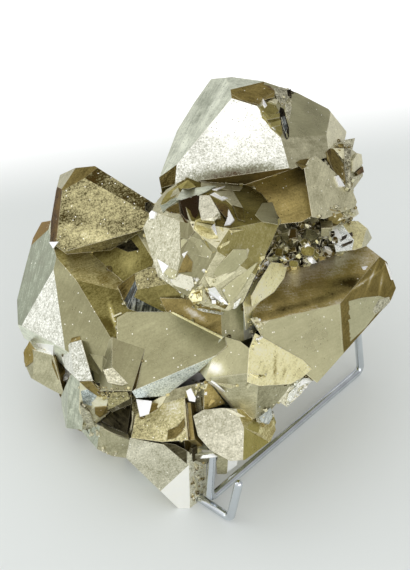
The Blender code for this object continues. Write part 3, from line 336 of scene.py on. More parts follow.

# Growth plates and chips that stand on the faces: finish, tone, height in millimetres, the
# direction of the grain in degrees, and the outline on the sheet.
# Some of them are thin sheets of painted light: white ones paint glints, and shadow ones paint the
# shade in cracks, grooves and notches, a few of them dark bars and spots.
CHIPS = [
    # The top crystal: its cap, the ledges below it and the gash beside them.
    ("bronze", 0.05, 0.2, -15,
     [(232, 95), (261, 83), (270, 86), (275, 92), (274, 98), (262, 101), (259, 105), (252, 104),
      (240, 100)]),
    ("olive_gold", 0.0, 0.5, 10,
     [(259, 108), (266, 104), (275, 107), (278, 112), (270, 118), (262, 117)]),
    ("olive_gold", 0.4, 0.6, 10, [(262, 117), (272, 115), (279, 114), (279, 118), (266, 121)]),
    ("olive_gold", -0.1, 0.4, 10, [(265, 120), (279, 117), (280, 121), (268, 124)]),
    ("olive_gold", 0.35, 0.5, 10, [(268, 124), (280, 121), (280, 126), (271, 128)]),
    ("olive_gold", 0.0, 0.35, 10, [(270, 128), (281, 126), (282, 134), (280, 137), (275, 132)]),
    ("white", 0.3, 0.8, 0, [(262, 100), (266, 107), (264, 109), (262, 106)]),
    ("beige", 0.4, 0.7, 0,
     [(268, 102), (272, 100), (277, 101), (276, 105), (273, 104), (271, 103)]),
    ("ragged", 0.0, 0.5, 30,
     [(273, 90), (279, 88), (287, 90), (289, 97), (285, 103), (282, 107), (276, 99)]),
    ("ragged", 0.1, 0.3, 70, [(285, 103), (291, 108), (289, 122), (285, 112)]),
    ("shadow", -0.2, 0.6, 70, [(286, 91), (290, 90), (291, 98), (287, 97)]),
    ("shadow", 0.0, 0.5, 70, [(290, 91), (294, 93), (291, 94)]),
    ("shadow", -0.35, 0.12, 75,
     [(280, 107), (284, 109), (286, 118), (289, 128), (289, 137), (287, 140), (285, 138),
      (280, 124), (279, 112)]),
    ("striped_steel", -0.35, 0.3, 75, [(281, 118), (284, 117), (287, 128), (286, 134), (283, 128)]),
    ("bronze", -0.2, 0.3, 10, [(295, 163), (300, 160), (309, 159), (306, 167), (302, 170)]),
    # The stubs on the right.
    ("bronze", -0.2, 0.6, -60,
     [(326, 152), (330, 149), (334, 151), (343, 166), (345, 184), (343, 188), (336, 176),
      (331, 168), (326, 160)]),
    ("beige", 0.3, 0.9, 0, [(332, 149.5), (343, 150), (343.5, 160), (341, 160)]),
    ("bronze", 0.1, 0.7, 0, [(331, 148), (336, 145), (343, 145), (343, 149)]),
    ("ragged", -0.15, 0.8, 85, [(343, 150), (349, 152), (350, 190), (346, 190), (344, 172)]),
    ("beige", 0.1, 0.9, 60,
     [(351, 161), (355, 154), (360, 154), (361, 164), (352, 173), (350, 172)]),
    ("bronze", -0.1, 0.9, 30, [(354, 173), (361, 167), (362, 173), (356, 176)]),
    ("white", 0.2, 0.8, 60, [(334, 177), (337, 176), (344, 187), (338, 187)]),
    ("bronze", 0.25, 0.5, 20,
     [(326, 222), (330, 209), (340, 211), (344, 218), (337, 224), (330, 227)]),
    # The gravelly hollow.
    ("white", 0.4, 3.4, 0, [(317, 236), (325, 228), (327, 243), (320, 239)]),
    ("bronze", -0.3, 0.9, 0, [(327, 241), (337, 241), (337, 248), (330, 249)]),
    ("white", 0.1, 0.9, 60, [(331, 231), (336, 230), (340, 240), (334, 240)]),
    ("beige", 0.5, 3.0, 0, [(303, 221), (307, 217), (311, 217), (310, 224), (305, 223)]),
    ("white", 0.4, 2.8, 0, [(322, 250), (327, 251), (333, 258), (328, 256), (323, 253)]),
    ("white", 0.4, 2.8, 0, [(306, 253), (310, 254), (315, 258), (309, 259), (306, 257)]),
    ("golden", 0.7, 2.4, 60, [(297, 254), (301, 253), (305, 260), (306, 264), (301, 263)]),
    ("striped_steel", 0.2, 2.2, 15,
     [(278, 260), (285, 258), (296, 256), (292, 262), (286, 264), (280, 263)]),
    ("smooth", -0.1, 2.0, 60, [(274, 257), (277, 250), (283, 243), (290, 252), (283, 259)]),
    ("smooth", -0.35, 2.6, 20, [(303, 240), (304, 232), (312, 235), (317, 240), (308, 245)]),
    ("olive_gold", 0.1, 0.6, 80, [(290, 240), (300, 239), (304, 252), (293, 254)]),
    ("shadow", 0.1, 0.2, 20, [(340, 238), (352, 232), (353, 236), (341, 241)]),
    ("shadow", 0.2, 0.2, 20, [(341, 245), (353, 240), (352, 243), (343, 247)]),
    ("shadow", -0.2, 0.2, 60, [(268, 258), (279, 243), (281, 245), (272, 257)]),
    # The right crystal.
    ("smooth", 0.3, 0.08, 25,
     [(339, 304), (360, 298), (378, 296), (388, 299), (384, 308), (375, 315), (366, 327),
      (352, 340), (342, 350)]),
    ("white", 0.5, 0.15, 0, [(361, 267), (367, 266), (371, 270), (363, 270)]),
    ("white", 0.4, 0.15, 60, [(385, 262), (388, 264), (392, 275), (393, 280), (391, 280)]),
    ("ragged", 0.2, 0.4, 45,
     [(372, 310), (378, 300), (388, 297), (391, 301), (384, 309), (374, 315)]),
    ("white", 0.1, 0.6, 60, [(262, 263), (267, 260), (269, 270), (264, 269)]),
    ("golden", 0.4, 0.5, 60, [(260, 257), (264, 256), (265, 260), (261, 261)]),
    ("beige", 0.5, 0.5, 60, [(250, 319), (257, 318), (262, 326), (258, 329)]),
    ("beige", 0.3, 0.3, 20, [(262, 322), (270, 320), (264, 325)]),
    # The front and the long crystal.
    ("golden", 0.5, 0.25, 25, [(171, 313), (173, 312), (223, 337), (222, 339)]),
    ("beige", 0.6, 0.25, 0, [(113, 316), (121, 312.5), (122, 314), (114, 317.5)]),
    ("smooth", -0.35, 0.04, 60,
     [(90, 354), (103, 356), (107, 360), (102, 372), (105, 383), (95, 383)]),
    ("white", 0.4, 0.6, 0, [(63, 373), (70, 371), (74, 376), (70, 381), (64, 381)]),
    ("bronze", 0.1, 0.2, 20, [(72, 338), (80, 336), (81, 340), (70, 343)]),
    ("ragged", 0.25, 0.3, -40, [(103, 370), (113, 368), (128, 384), (122, 386), (108, 383)]),
    ("white", 0.5, 0.3, 0, [(49, 242), (60, 242), (54, 249)]),
    ("white", 0.5, 0.3, 30, [(208, 382), (211, 381), (226, 391), (222, 391)]),
    ("beige", 0.5, 0.5, -45, [(246, 386), (251, 381), (253, 382), (248, 388)]),
    ("golden", 0.45, 0.6, 80, [(197, 383), (200, 384), (199, 389)]),
    ("beige", 0.5, 0.5, 0, [(201, 385), (206, 384), (204, 389), (201, 388)]),
    # The crystals at the lower left.
    ("white", 0.5, 0.4, 30, [(36, 343), (54, 345), (54, 355), (45, 351)]),
    ("bronze", -0.1, 0.3, 60, [(54, 355), (60, 358), (65, 373), (60, 379), (54, 364)]),
    ("bronze", 0.4, 0.3, 70, [(24, 352), (30, 341), (36, 350), (33, 362), (26, 368)]),
    ("bronze", 0.15, 0.3, 35, [(80, 381), (91, 380), (98, 388), (105, 396), (98, 396), (88, 389)]),
    ("etched_silver", -0.1, 0.3, 40, [(81, 391), (88, 389), (97, 396), (92, 405), (84, 403)]),
    ("beige", 0.6, 0.5, 0, [(92, 402), (97, 397), (110, 397), (107, 405), (95, 406)]),
    ("bronze", 0.15, 0.5, 0, [(95, 406), (107, 405), (110, 410), (100, 417), (95, 413)]),
    ("etched_gold", 0.1, 0.3, 0,
     [(108, 398), (112, 392), (128, 391), (132, 398), (118, 405), (108, 410)]),
    ("shadow", -0.15, 0.15, -40,
     [(101, 421), (112, 410), (132, 400), (132, 420), (127, 434), (112, 428)]),
    ("beige", 0.4, 0.35, 25,
     [(100, 422), (112, 428), (127, 434), (130, 440), (112, 434), (104, 430)]),
    ("ragged", 0.2, 0.3, 60, [(80, 402), (90, 410), (95, 425), (97, 437), (90, 437), (83, 425)]),
    # The crystals at the bottom.
    ("beige", 0.4, 0.5, 0, [(152, 402), (160, 397), (168, 394), (163, 403), (158, 408)]),
    ("beige", 0.5, 0.3, 80, [(131, 410), (134, 412), (132, 430), (130, 432)]),
    ("bronze", -0.1, 0.12, 30,
     [(168, 430), (178, 426), (184, 418), (186, 424), (183, 431), (176, 438), (167, 440)]),
    ("beige", 0.5, 0.3, 80, [(184, 402), (186, 404), (189, 436), (187, 437)]),
    ("shadow", -0.2, 0.12, 80, [(186, 403), (193, 403), (193, 414), (189, 420)]),
    ("shadow", 0.1, 0.12, 80, [(190, 444), (197, 446), (197, 460), (193, 462), (190, 455)]),
    ("bronze", 0.35, 0.4, 60, [(202, 395), (215, 400), (221, 408), (203, 410)]),
    ("beige", 0.6, 0.5, 20, [(222, 407), (232, 410), (246, 417), (238, 417), (228, 411)]),
    ("beige", 0.5, 0.4, 30, [(219, 402), (226, 406), (223, 407)]),
    ("frosted", 0.2, 0.5, 50,
     [(286, 400), (288, 393), (296, 385), (300, 382), (296, 392), (290, 402)]),
    ("white", 0.2, 0.6, 40, [(296, 384), (306, 375), (311, 381), (303, 384), (297, 388)]),
    ("striped_steel", 0.0, 0.5, 60, [(258, 417), (270, 407), (273, 416), (268, 424), (260, 421)]),
    ("golden", -0.2, 0.3, 30, [(242, 420), (272, 420), (275, 430), (268, 442), (245, 428)]),
    ("white", 0.3, 0.7, 0, [(200, 457), (203, 452), (214, 451), (218, 455), (210, 456)]),
    ("bronze", 0.3, 1.5, 80, [(187, 403), (196, 404), (200, 425), (198, 447), (189, 446)]),
    ("shadow", 0.3, 0.1, 30, [(161, 442), (175, 444), (187, 450), (187, 464)]),
    ("shadow", -0.2, 0.15, 0, [(208, 457), (219, 458), (216, 462), (210, 461)]),
    ("beige", 0.4, 0.25, 70, [(193, 477), (196, 480), (200, 496), (198, 497)]),
    # Between the upper left crystal and the dome.
    ("shadow", -0.35, 0.1, 20, [(116, 247), (130, 240), (142, 233), (139, 250), (128, 252)]),
    ("shadow", -0.35, 0.1, 60, [(145, 203), (150, 200), (153, 206), (150, 214), (145, 210)]),
    ("white", 0.3, 0.7, 0, [(149, 213), (153, 211), (157, 213), (155, 219), (151, 219)]),
    # The dome: its crest.
    ("olive_gold", 0.1, 0.2, 35,
     [(161, 206), (163, 200), (168, 193), (178, 185), (188, 180), (197, 182), (200, 186),
      (188, 189), (182, 189), (175, 197), (166, 204)]),
    ("satin_silver", 0.1, 0.3, 20,
     [(176, 200), (182, 190), (203, 188), (207, 187), (216, 187), (205, 193), (196, 197),
      (183, 200)]),
    ("satin_silver", -0.4, 0.25, 30, [(160, 205), (176, 198), (180, 200), (168, 208), (163, 213)]),
    ("beige", -0.1, 0.15, 10,
     [(201, 183), (222, 184), (243, 187), (240, 191), (226, 190), (217, 188), (207, 187),
      (201, 187)]),
    ("white", 0.4, 0.35, 15, [(210, 195), (214, 193), (228, 199), (222, 201)]),
    ("white", 0.5, 0.4, 15, [(212, 190), (225, 187), (217, 191)]),
    ("beige", -0.05, 0.25, 60, [(214, 193), (232, 190), (243, 208), (240, 215), (228, 202)]),
    # The dome: its middle.
    ("bronze", -0.8, 0.6, 60,
     [(179, 203), (196, 197), (200, 197), (198, 214), (193, 226), (186, 222), (180, 214)]),
    ("bronze", -0.2, 0.17, 20, [(165, 210), (179, 203), (180, 214), (170, 213)]),
    ("speckled", 0.1, 0.6, 80,
     [(200, 197), (205, 196), (210, 197), (221, 214), (214, 220), (202, 221), (199, 210)]),
    ("golden", 0.1, 0.45, 20,
     [(200, 219), (214, 221), (218, 238), (203, 240), (194, 228), (195, 221)]),
    ("white", 0.4, 0.55, 60, [(211, 227), (214, 224), (217, 236), (215, 235)]),
    ("smooth", -0.7, 0.4, 80, [(180, 217), (190, 221), (195, 232), (188, 240), (181, 238)]),
    ("smooth", 0.0, 0.2, 60,
     [(190, 236), (201, 240), (212, 252), (210, 259), (196, 255), (181, 248), (181, 240)]),
    ("olive_gold", 0.1, 0.25, 0, [(204, 241), (220, 241), (215, 252), (211, 254)]),
    ("bronze", -0.1, 0.4, 60, [(211, 200), (226, 204), (231, 212), (226, 220), (219, 212)]),
    ("white", 0.6, 0.5, 70, [(228, 211), (234, 221), (230, 225), (224, 226), (227, 219)]),
    ("golden", 0.1, 0.25, 0, [(219, 227), (229, 230), (244, 230), (232, 233), (222, 231)]),
    ("golden", 0.3, 0.3, 60,
     [(222, 244), (229, 241), (228, 244), (221, 248), (214, 256), (219, 246)]),
    ("olive_gold", -0.5, 0.3, 70, [(232, 206), (243, 209), (245, 222), (238, 220)]),
    ("bronze", -0.1, 0.2, 10, [(225, 227), (230, 226), (242, 230), (230, 230)]),
    # The dome: its south and east sides.
    ("smooth", -0.2, 0.1, 30,
     [(255, 215), (262, 204), (272, 203), (280, 217), (278, 225), (262, 222)]),
    ("smooth", -0.15, 0.2, 30,
     [(216, 268), (233, 249), (246, 249), (247, 257), (236, 270), (222, 277), (213, 275)]),
    ("beige", 0.35, 0.25, 60, [(243, 258), (247, 248), (249, 250), (246, 259)]),
    ("beige", 0.3, 0.25, 30,
     [(203, 275), (214, 278), (232, 271), (236, 272), (222, 282), (210, 288)]),
    ("smooth", -0.05, 0.2, 50,
     [(221, 289), (237, 277), (250, 266), (258, 262), (245, 285), (236, 297), (228, 303)]),
    ("white", 0.5, 0.4, 50, [(207, 291), (214, 287), (228, 304), (222, 303)]),
    ("bronze", -0.1, 0.15, 50,
     [(205, 293), (208, 293), (222, 304), (228, 305), (225, 309), (212, 303)]),
    ("white", 0.3, 0.5, 0, [(171, 280), (180, 274), (193, 279), (194, 286), (180, 294)]),
    ("golden", 0.5, 0.5, 0, [(187, 297), (192, 290), (202, 289), (202, 300), (191, 305)]),
    ("bronze", 0.1, 0.3, 60, [(178, 273), (183, 260), (187, 254), (193, 262), (192, 272)]),
    ("white", 0.2, 0.25, 60, [(158, 259), (163, 262), (169, 266), (163, 274)]),
    ("smooth", 0.1, 0.25, 20, [(163, 272), (170, 268), (178, 271), (176, 280), (168, 278)]),
    ("white", 0.2, 0.35, 60, [(182, 254), (188, 251), (184, 258)]),
    ("frosted", 0.0, 0.25, 0, [(190, 307), (205, 309), (224, 312), (222, 315), (204, 312)]),
    ("frosted", 0.2, 0.25, 60, [(230, 312), (234, 303), (241, 297), (240, 305), (235, 311)]),
]

# Beds of small crystals: outline on the sheet, how many, sizes in millimetres, tones, finishes.
# White crystals in the beds paint glints.
BEDS = [
    ([(268, 252), (283, 236), (296, 222), (320, 216), (334, 226), (336, 244), (330, 254),
      (318, 260), (296, 264), (280, 262)],
     130, (1.2, 4.0), (-0.9, 0.3), ("bronze", "beige", "bronze", "olive_gold", "smooth", "shadow")),
    ([(275, 250), (296, 226), (326, 222), (336, 246), (296, 264)],
     44, (1.0, 2.4), (0.2, 0.6), ("white", "golden", "beige")),
    ([(284, 402), (290, 386), (306, 373), (313, 381), (300, 396), (290, 406)],
     50, (0.5, 1.3), (0.0, 0.6), ("frosted", "striped_steel", "white")),
    ([(192, 462), (205, 462), (206, 498), (192, 503)],
     60, (0.5, 1.3), (-0.5, 0.5), ("beige", "bronze", "speckled")),
    ([(82, 404), (92, 406), (100, 436), (92, 440), (84, 424)],
     40, (0.5, 1.3), (-0.3, 0.5), ("beige", "speckled", "satin_silver")),
    ([(257, 405), (275, 404), (276, 420), (262, 424)],
     24, (0.5, 1.2), (-0.5, 0.5), ("striped_steel", "beige")),
    ([(96, 446), (120, 452), (118, 458), (98, 454)],
     24, (0.4, 1.0), (-0.2, 0.5), ("beige", "speckled")),
    ([(248, 320), (262, 318), (264, 340), (252, 352)],
     36, (0.5, 1.3), (-0.2, 0.6), ("beige", "white", "golden")),
    ([(184, 270), (206, 270), (232, 300), (222, 316), (196, 312), (184, 296)],
     44, (0.6, 1.6), (-0.3, 0.6), ("white", "beige", "golden", "smooth")),
    ([(192, 380), (206, 380), (206, 398), (194, 396)],
     22, (0.5, 1.3), (-0.2, 0.6), ("beige", "white", "golden")),
    ([(96, 386), (130, 388), (132, 398), (100, 398)],
     44, (0.4, 1.1), (-0.4, 0.5), ("etched_gold", "golden", "bronze")),
    ([(258, 262), (266, 256), (272, 262), (262, 276), (252, 284)],
     26, (0.4, 1.2), (-0.4, 0.6), ("white", "bronze", "golden")),
    ([(276, 88), (290, 90), (292, 106), (280, 108)],
     24, (0.4, 1.1), (-0.4, 0.3), ("ragged", "bronze", "beige")),
    ([(334, 140), (350, 144), (356, 190), (342, 190)],
     40, (0.5, 1.5), (-0.4, 0.4), ("beige", "bronze", "ragged")),
    ([(330, 206), (356, 206), (356, 222), (336, 226)],
     30, (0.5, 1.6), (-0.4, 0.4), ("beige", "bronze", "ragged")),
]


def sheet_direction(x, y):
    """The direction from the viewpoint through a place of the layout sheet."""
    offset = (x - SHEET_CENTRE[0]) * ACROSS + (SHEET_CENTRE[1] - y) * UP_SHEET
    return (CENTRE + offset * SHEET_STEP - EYE).normalized()


def on_sheet(places):
    """Where points of the model are seen on the layout sheet."""
    away = places - np.array(EYE)
    depth = away @ -np.array(TO_VIEWER)
    share = VIEW_DISTANCE / SHEET_STEP / depth
    x = SHEET_CENTRE[0] + away @ np.array(ACROSS) * share
    y = SHEET_CENTRE[1] - away @ np.array(UP_SHEET) * share
    return x, y


def colour(code):
    """A six-digit colour code as linear colour."""
    parts = [int(code[i : i + 2], 16) / 255 for i in (0, 2, 4)]
    return [part / 12.92 if part <= 0.04045 else ((part + 0.055) / 1.055) ** 2.4 for part in parts]


# ---------------------------------------------------------------- finishes


class Nodes:
    """Adds nodes to one material, each with its inputs in one call."""

    def __init__(self, name):
        self.material = bpy.data.materials.new(name)
        self.material.use_nodes = True
        self.tree = self.material.node_tree
        self.tree.nodes.clear()

    def add(self, kind, values=(), **settings):
        """One node; each of its values is a constant or another node's output."""
        node = self.tree.nodes.new(kind)
        for key, value in settings.items():
            setattr(node, key, value)
        for key, value in dict(values).items():
            if isinstance(value, bpy.types.NodeSocket):
                self.tree.links.new(value, node.inputs[key])
            else:
                node.inputs[key].default_value = value
        return node

    def math(self, operation, a, b=0.0, clamp=False):
        """The result of one operation on two numbers."""
        return self.add("ShaderNodeMath", {0: a, 1: b}, operation=operation, use_clamp=clamp).outputs[0]

    def scaled(self, a, factor, offset, clamp=False):
        """A number times a factor plus an offset."""
        values = {0: a, 1: factor, 2: offset}
        return self.add("ShaderNodeMath", values, operation="MULTIPLY_ADD", use_clamp=clamp).outputs[0]

    def cloud(self, place, scale, detail, roughness=0.5):
        """Soft noise with a scale in turns for each unit of place."""
        values = {"Vector": place, "Scale": scale, "Detail": detail, "Roughness": roughness}
        return self.add("ShaderNodeTexNoise", values).outputs["Fac"]

    def mix(self, share, a, b):
        """A colour between two others."""
        values = {"Factor": share, 6: a, 7: b}
        return self.add("ShaderNodeMix", values, data_type="RGBA").outputs[2]

    def surface(self, values):
        """Makes a shader with these values the material's surface."""
        shader = self.add("ShaderNodeBsdfPrincipled", values)
        self.add("ShaderNodeOutputMaterial", {"Surface": shader.outputs[0]})
        return self.material


def rgba(code):
    """A six-digit colour code as a shader's colour."""
    return (*colour(code), 1)


def face_shade(made, lie, look):
    """The face's lightness, from its tone, clouds, streaks and grain, and the patterns it uses."""
    tone = made.add("ShaderNodeAttribute", attribute_name="tone").outputs["Fac"]
    drawn = made.add("ShaderNodeVectorMath", {0: lie, 1: (STREAK_STRETCH, 1.0, 1.0)},
                     operation="MULTIPLY")
    clouds = made.cloud(lie, 1 / look["mottle"], 5, NOISE_ROUGHNESS)
    streaks = made.cloud(drawn.outputs[0], 1 / STREAK_WIDTH, 4, NOISE_ROUGHNESS)
    grains = made.cloud(lie, 1 / GRAIN_SIZE, 3, NOISE_ROUGHNESS)
    shade = made.scaled(clouds, 2 * look["contrast"], 0.5 - look["contrast"])
    shade = made.math("ADD", shade, tone)
    for pattern, strength in ((streaks, look["streak"]), (grains, look["grain"])):
        centred = made.math("SUBTRACT", pattern, 0.5)
        shade = made.math("ADD", shade, made.math("MULTIPLY", centred, LINE_STRENGTH * strength))
    return shade, clouds, streaks, grains


def face_colour(made, shade, look):
    """The finish's colour at that lightness, from deep brown to a painted bright sheen."""
    within = made.math("ADD", shade, 0.0, clamp=True)
    base = made.mix(within, rgba(look["dark"]), rgba(look["light"]))
    base = made.mix(made.math("MULTIPLY", shade, -1.0, clamp=True), base, rgba(DEEP_BROWN))
    return made.mix(made.math("SUBTRACT", shade, 1.0, clamp=True), base, rgba(SHEEN))


def flecks(made, base, lie, look):
    """Grains that shine or are dark."""
    cells = made.add("ShaderNodeTexVoronoi", {"Vector": lie, "Scale": 1 / FLECK_CELL})
    chance = made.add("ShaderNodeSeparateColor", {"Color": cells.outputs["Color"]})
    near = made.math("LESS_THAN", cells.outputs["Distance"], FLECK_SHARE)
    if look["glints"]:
        picked = made.math("LESS_THAN", chance.outputs[0], look["glints"])
        base = made.mix(made.math("MULTIPLY", near, picked), base, rgba(GLINT))
    if look["pits"]:
        picked = made.math("LESS_THAN", chance.outputs[1], look["pits"])
        low = made.math("MULTIPLY", near, picked)
        base = made.mix(made.math("MULTIPLY", low, PIT_DEPTH), base, rgba(look["dark"]))
    return base


def paint_edge_highlight(made, base):
    """A painted highlight along the edges, and the normal that rounds the edges by a hair."""
    rounded_normal = made.add("ShaderNodeBevel", {"Radius": EDGE_WIDTH}, samples=4).outputs[0]
    straight = made.add("ShaderNodeNewGeometry").outputs["Normal"]
    bent = made.add("ShaderNodeVectorMath", {0: rounded_normal, 1: straight}, operation="DOT_PRODUCT")
    turned = made.math("SUBTRACT", 1.0, bent.outputs["Value"])
    edge = made.math("MULTIPLY", turned, EDGE_STRENGTH, clamp=True)
    edge_highlight = made.add("ShaderNodeAttribute", attribute_name="edge_highlight").outputs["Fac"]
    return made.mix(made.math("MULTIPLY", edge, edge_highlight), base, rgba(EDGE_HIGHLIGHT_COLOUR)), rounded_normal


def face_finish(name, look):
    """A crystal face: metallic, clouded, streaked along its grain, with glints and pits."""
    made = Nodes("pyrite_" + name)
    lie = made.add("ShaderNodeAttribute", attribute_name="lie").outputs["Vector"]
    shade, clouds, streaks, grains = face_shade(made, lie, look)
    base = flecks(made, face_colour(made, shade, look), lie, look)
    base, rounded_normal = paint_edge_highlight(made, base)
    height = made.math("ADD", made.math("MULTIPLY", streaks, look["streak"]), grains)
    bumped = made.add("ShaderNodeBump", {
        "Height": height, "Strength": look["bump"], "Distance": BUMP_DEPTH, "Normal": rounded_normal})
    made.surface({
        "Base Color": base, "Metallic": METAL_SHARE,
        "Roughness": made.scaled(clouds, GLOSS_RANGE, look["rough"] - GLOSS_RANGE / 2),
        "Specular IOR Level": look["shine"], "Specular Tint": rgba(look["rim"]),
        "Normal": bumped.outputs[0]})


def wire_finish(tint):
    """Bright plated wire with fine drawing marks and a few dull spots."""
    made = Nodes("plated_wire")
    place = made.add("ShaderNodeTexCoord").outputs["Object"]
    marks = made.cloud(place, MARKS_SCALE, 3)
    dull = made.cloud(place, DULL_SCALE, 4)
    dull_tint = [part * WIRE_DULL for part in tint[:3]] + [1]
    bumped = made.add("ShaderNodeBump", {"Height": marks, "Strength": 0.1, "Distance": MARKS_DEPTH})
    return made.surface({
        "Base Color": made.mix(made.scaled(dull, 1.6, -0.3, clamp=True), dull_tint, tint),
        "Metallic": 1.0, "Roughness": made.scaled(marks, 0.12, 0.08), "Normal": bumped.outputs[0]})


# ---------------------------------------------------------------- the stone


def facets(shape):
    """Numbers the flat facets of the stone: a face layer holds each triangle's facet."""
    layer = shape.faces.layers.int.new("facet")
    for face in shape.faces:
        face[layer] = -1
    count = 0
    for seed in sorted(shape.faces, key=lambda face: -face.calc_area()):
        if seed[layer] >= 0:
            continue
        seed[layer] = count
        waiting = [seed]
        while waiting:
            face = waiting.pop()
            for edge in face.edges:
                for other in edge.link_faces:
                    tiny = other.calc_area() < SLIVER
                    if other[layer] < 0 and (tiny or other.normal.dot(seed.normal) > SAME_FACE):
                        other[layer] = count
                        waiting.append(other)
        count += 1
    return layer, count


def refine(shape, layer, limits):
    """Cuts the facets into triangles with no side over their limit."""
    for _ in range(10):
        long = [edge for edge in shape.edges
                if edge.calc_length() > min(limits[face[layer]] for face in edge.link_faces)]
        if not long:
            return
        bmesh.ops.subdivide_edges(shape, edges=long, cuts=1)
        bmesh.ops.triangulate(shape, faces=[face for face in shape.faces if len(face.verts) > 3])
        inner = [edge for edge in shape.edges
                 if len({face[layer] for face in edge.link_faces}) == 1]
        bmesh.ops.beautify_fill(shape, faces=shape.faces, edges=inner)


class Stone:
    """The stone's facets, as the solid model has them."""

    def __init__(self):
        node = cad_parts["pyrite_cluster"]
        self.shape = bmesh.new()
        self.shape.from_mesh(node.data)
        bmesh.ops.remove_doubles(self.shape, verts=self.shape.verts, dist=MELT)
        bmesh.ops.dissolve_limit(self.shape, angle_limit=FLAT,
                                 verts=self.shape.verts, edges=self.shape.edges)
        bmesh.ops.triangulate(self.shape, faces=self.shape.faces)
        self.layer, self.count = facets(self.shape)
        self.shape.faces.ensure_lookup_table()
        self.facet_of = [face[self.layer] for face in self.shape.faces]
        self.tree = BVHTree.FromBMesh(self.shape)
        self.normals = [None] * self.count
        for face in sorted(self.shape.faces, key=lambda face: face.calc_area()):
            self.normals[face[self.layer]] = face.normal.copy()

    def seen(self, x, y):
        """The place, facet and normal seen at a place of the layout sheet."""
        place, _, face, _ = self.tree.ray_cast(EYE, sheet_direction(x, y))
        if place is None:
            raise ValueError(f"no facet at sheet place {x}, {y}")
        facet = self.facet_of[face]
        return place, facet, self.normals[facet]


def lie_axes(normal, angle):
    """The grain's direction in a face, and the direction across it."""
    along = ACROSS - normal * normal.dot(ACROSS)
    if along.length < STEEP:
        along = UP_SHEET - normal * normal.dot(UP_SHEET)
    along.normalize()
    across = normal.cross(along)
    turn = math.radians(angle)
    cos, sin = math.cos(turn), math.sin(turn)
    return along * cos + across * sin, across * cos - along * sin


def facet_finishes(stone):
    """The finish, tone and grain direction of every facet."""
    chosen = []
    for facet in range(stone.count):
        rng = np.random.default_rng(facet)
        name = HIDDEN_FINISHES[rng.integers(len(HIDDEN_FINISHES))]
        chosen.append((name, rng.uniform(*HIDDEN_TONES), rng.uniform(*HIDDEN_ANGLES)))
    for x, y, name, tone, angle in FACES:
        chosen[stone.seen(x, y)[1]] = (name, tone, angle)
    return chosen


def as_object(name, mesh):
    """A piece of the specimen, which moves with its one body."""
    made = bpy.data.objects.new(name, mesh)
    bpy.context.scene.collection.objects.link(made)
    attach(made, "root")
    return made


def skin_arrays(stone, mesh):
    """Numbers of the refined skin: places, triangles, their facets, and which points are inner."""
    places = np.empty(len(mesh.vertices) * 3)
    mesh.vertices.foreach_get("co", places)
    places = places.reshape(-1, 3)
    corners = np.empty(len(mesh.loops), int)
    mesh.loops.foreach_get("vertex_index", corners)
    facet = np.empty(len(mesh.polygons), int)
    mesh.attributes["facet"].data.foreach_get("value", facet)
    triangles = corners.reshape(-1, 3)
    low = np.full(len(places), stone.count)
    high = np.full(len(places), -1)
    for k in range(3):
        np.minimum.at(low, triangles[:, k], facet)
        np.maximum.at(high, triangles[:, k], facet)
    return places, triangles, facet, np.where(low == high, low, -1)


def painted_light_tone(mark, x, y):
    """How much a mark of painted light changes the tone at places of the sheet."""
    middle_x, middle_y, half_length, half_width, angle, strength = mark
    turn = math.radians(angle)
    along = (x - middle_x) * math.cos(turn) - (y - middle_y) * math.sin(turn)
    across = (x - middle_x) * math.sin(turn) + (y - middle_y) * math.cos(turn)
    return strength * np.exp(-((along / half_length) ** 2 + (across / half_width) ** 2))


def store(mesh, name, kind, values):
    """Keeps a value for each corner of the mesh's faces."""
    attribute = mesh.attributes.new(name, kind, "CORNER")
    field = "vector" if kind == "FLOAT_VECTOR" else "value"
    attribute.data.foreach_set(field, np.asarray(values, np.float32).reshape(-1))


def skin_mesh(stone, chosen, cell):
    """The stone's facets cut into fine triangles, each with its finish and with sharp rims."""
    names = list(FINISHES)
    seen = {stone.seen(x, y)[1] for x, y, *_ in FACES}
    limits = [cell * (1.0 if facet in seen else HIDDEN_CELL) for facet in range(stone.count)]
    refine(stone.shape, stone.layer, limits)
    for edge in stone.shape.edges:
        edge.smooth = len({face[stone.layer] for face in edge.link_faces}) == 1
    for face in stone.shape.faces:
        face.smooth = True
        face.material_index = names.index(chosen[face[stone.layer]][0])
    mesh = bpy.data.meshes.new("pyrite_skin")
    stone.shape.to_mesh(mesh)
    stone.shape.free()
    for name in names:
        mesh.materials.append(bpy.data.materials["pyrite_" + name])
    return mesh


def set_texture(mesh, stone, chosen, places, triangles, facet):
    """Stores where each corner lies in its face's grain, and its tone: the face's own tone with the
    painted reflections, highlights and shade of the marks added.
    """
    axes = np.array([[*lie_axes(stone.normals[i], chosen[i][2])] for i in range(stone.count)])
    corners = triangles.reshape(-1)
    corner_facet = np.repeat(facet, 3)
    at = places[corners] / MM
    lie = np.outer(corner_facet, FACET_SHIFT)
    lie[:, 0] += np.einsum("ij,ij->i", at, axes[corner_facet, 0])
    lie[:, 1] += np.einsum("ij,ij->i", at, axes[corner_facet, 1])
    tone = np.array([shade for _, shade, _ in chosen])[corner_facet]
    x, y = on_sheet(places)
    # The marks paint reflections, highlights and shade onto the faces' tone.
    for mark in PAINTED_LIGHT_MARKS:
        marked = corner_facet == stone.seen(*mark[:2])[1]
        tone += painted_light_tone(mark, x[corners], y[corners]) * marked
    store(mesh, "lie", "FLOAT_VECTOR", lie)
    store(mesh, "tone", "FLOAT", tone)
    store(mesh, "edge_highlight", "FLOAT", np.full(len(tone), SKIN_EDGE_HIGHLIGHT))


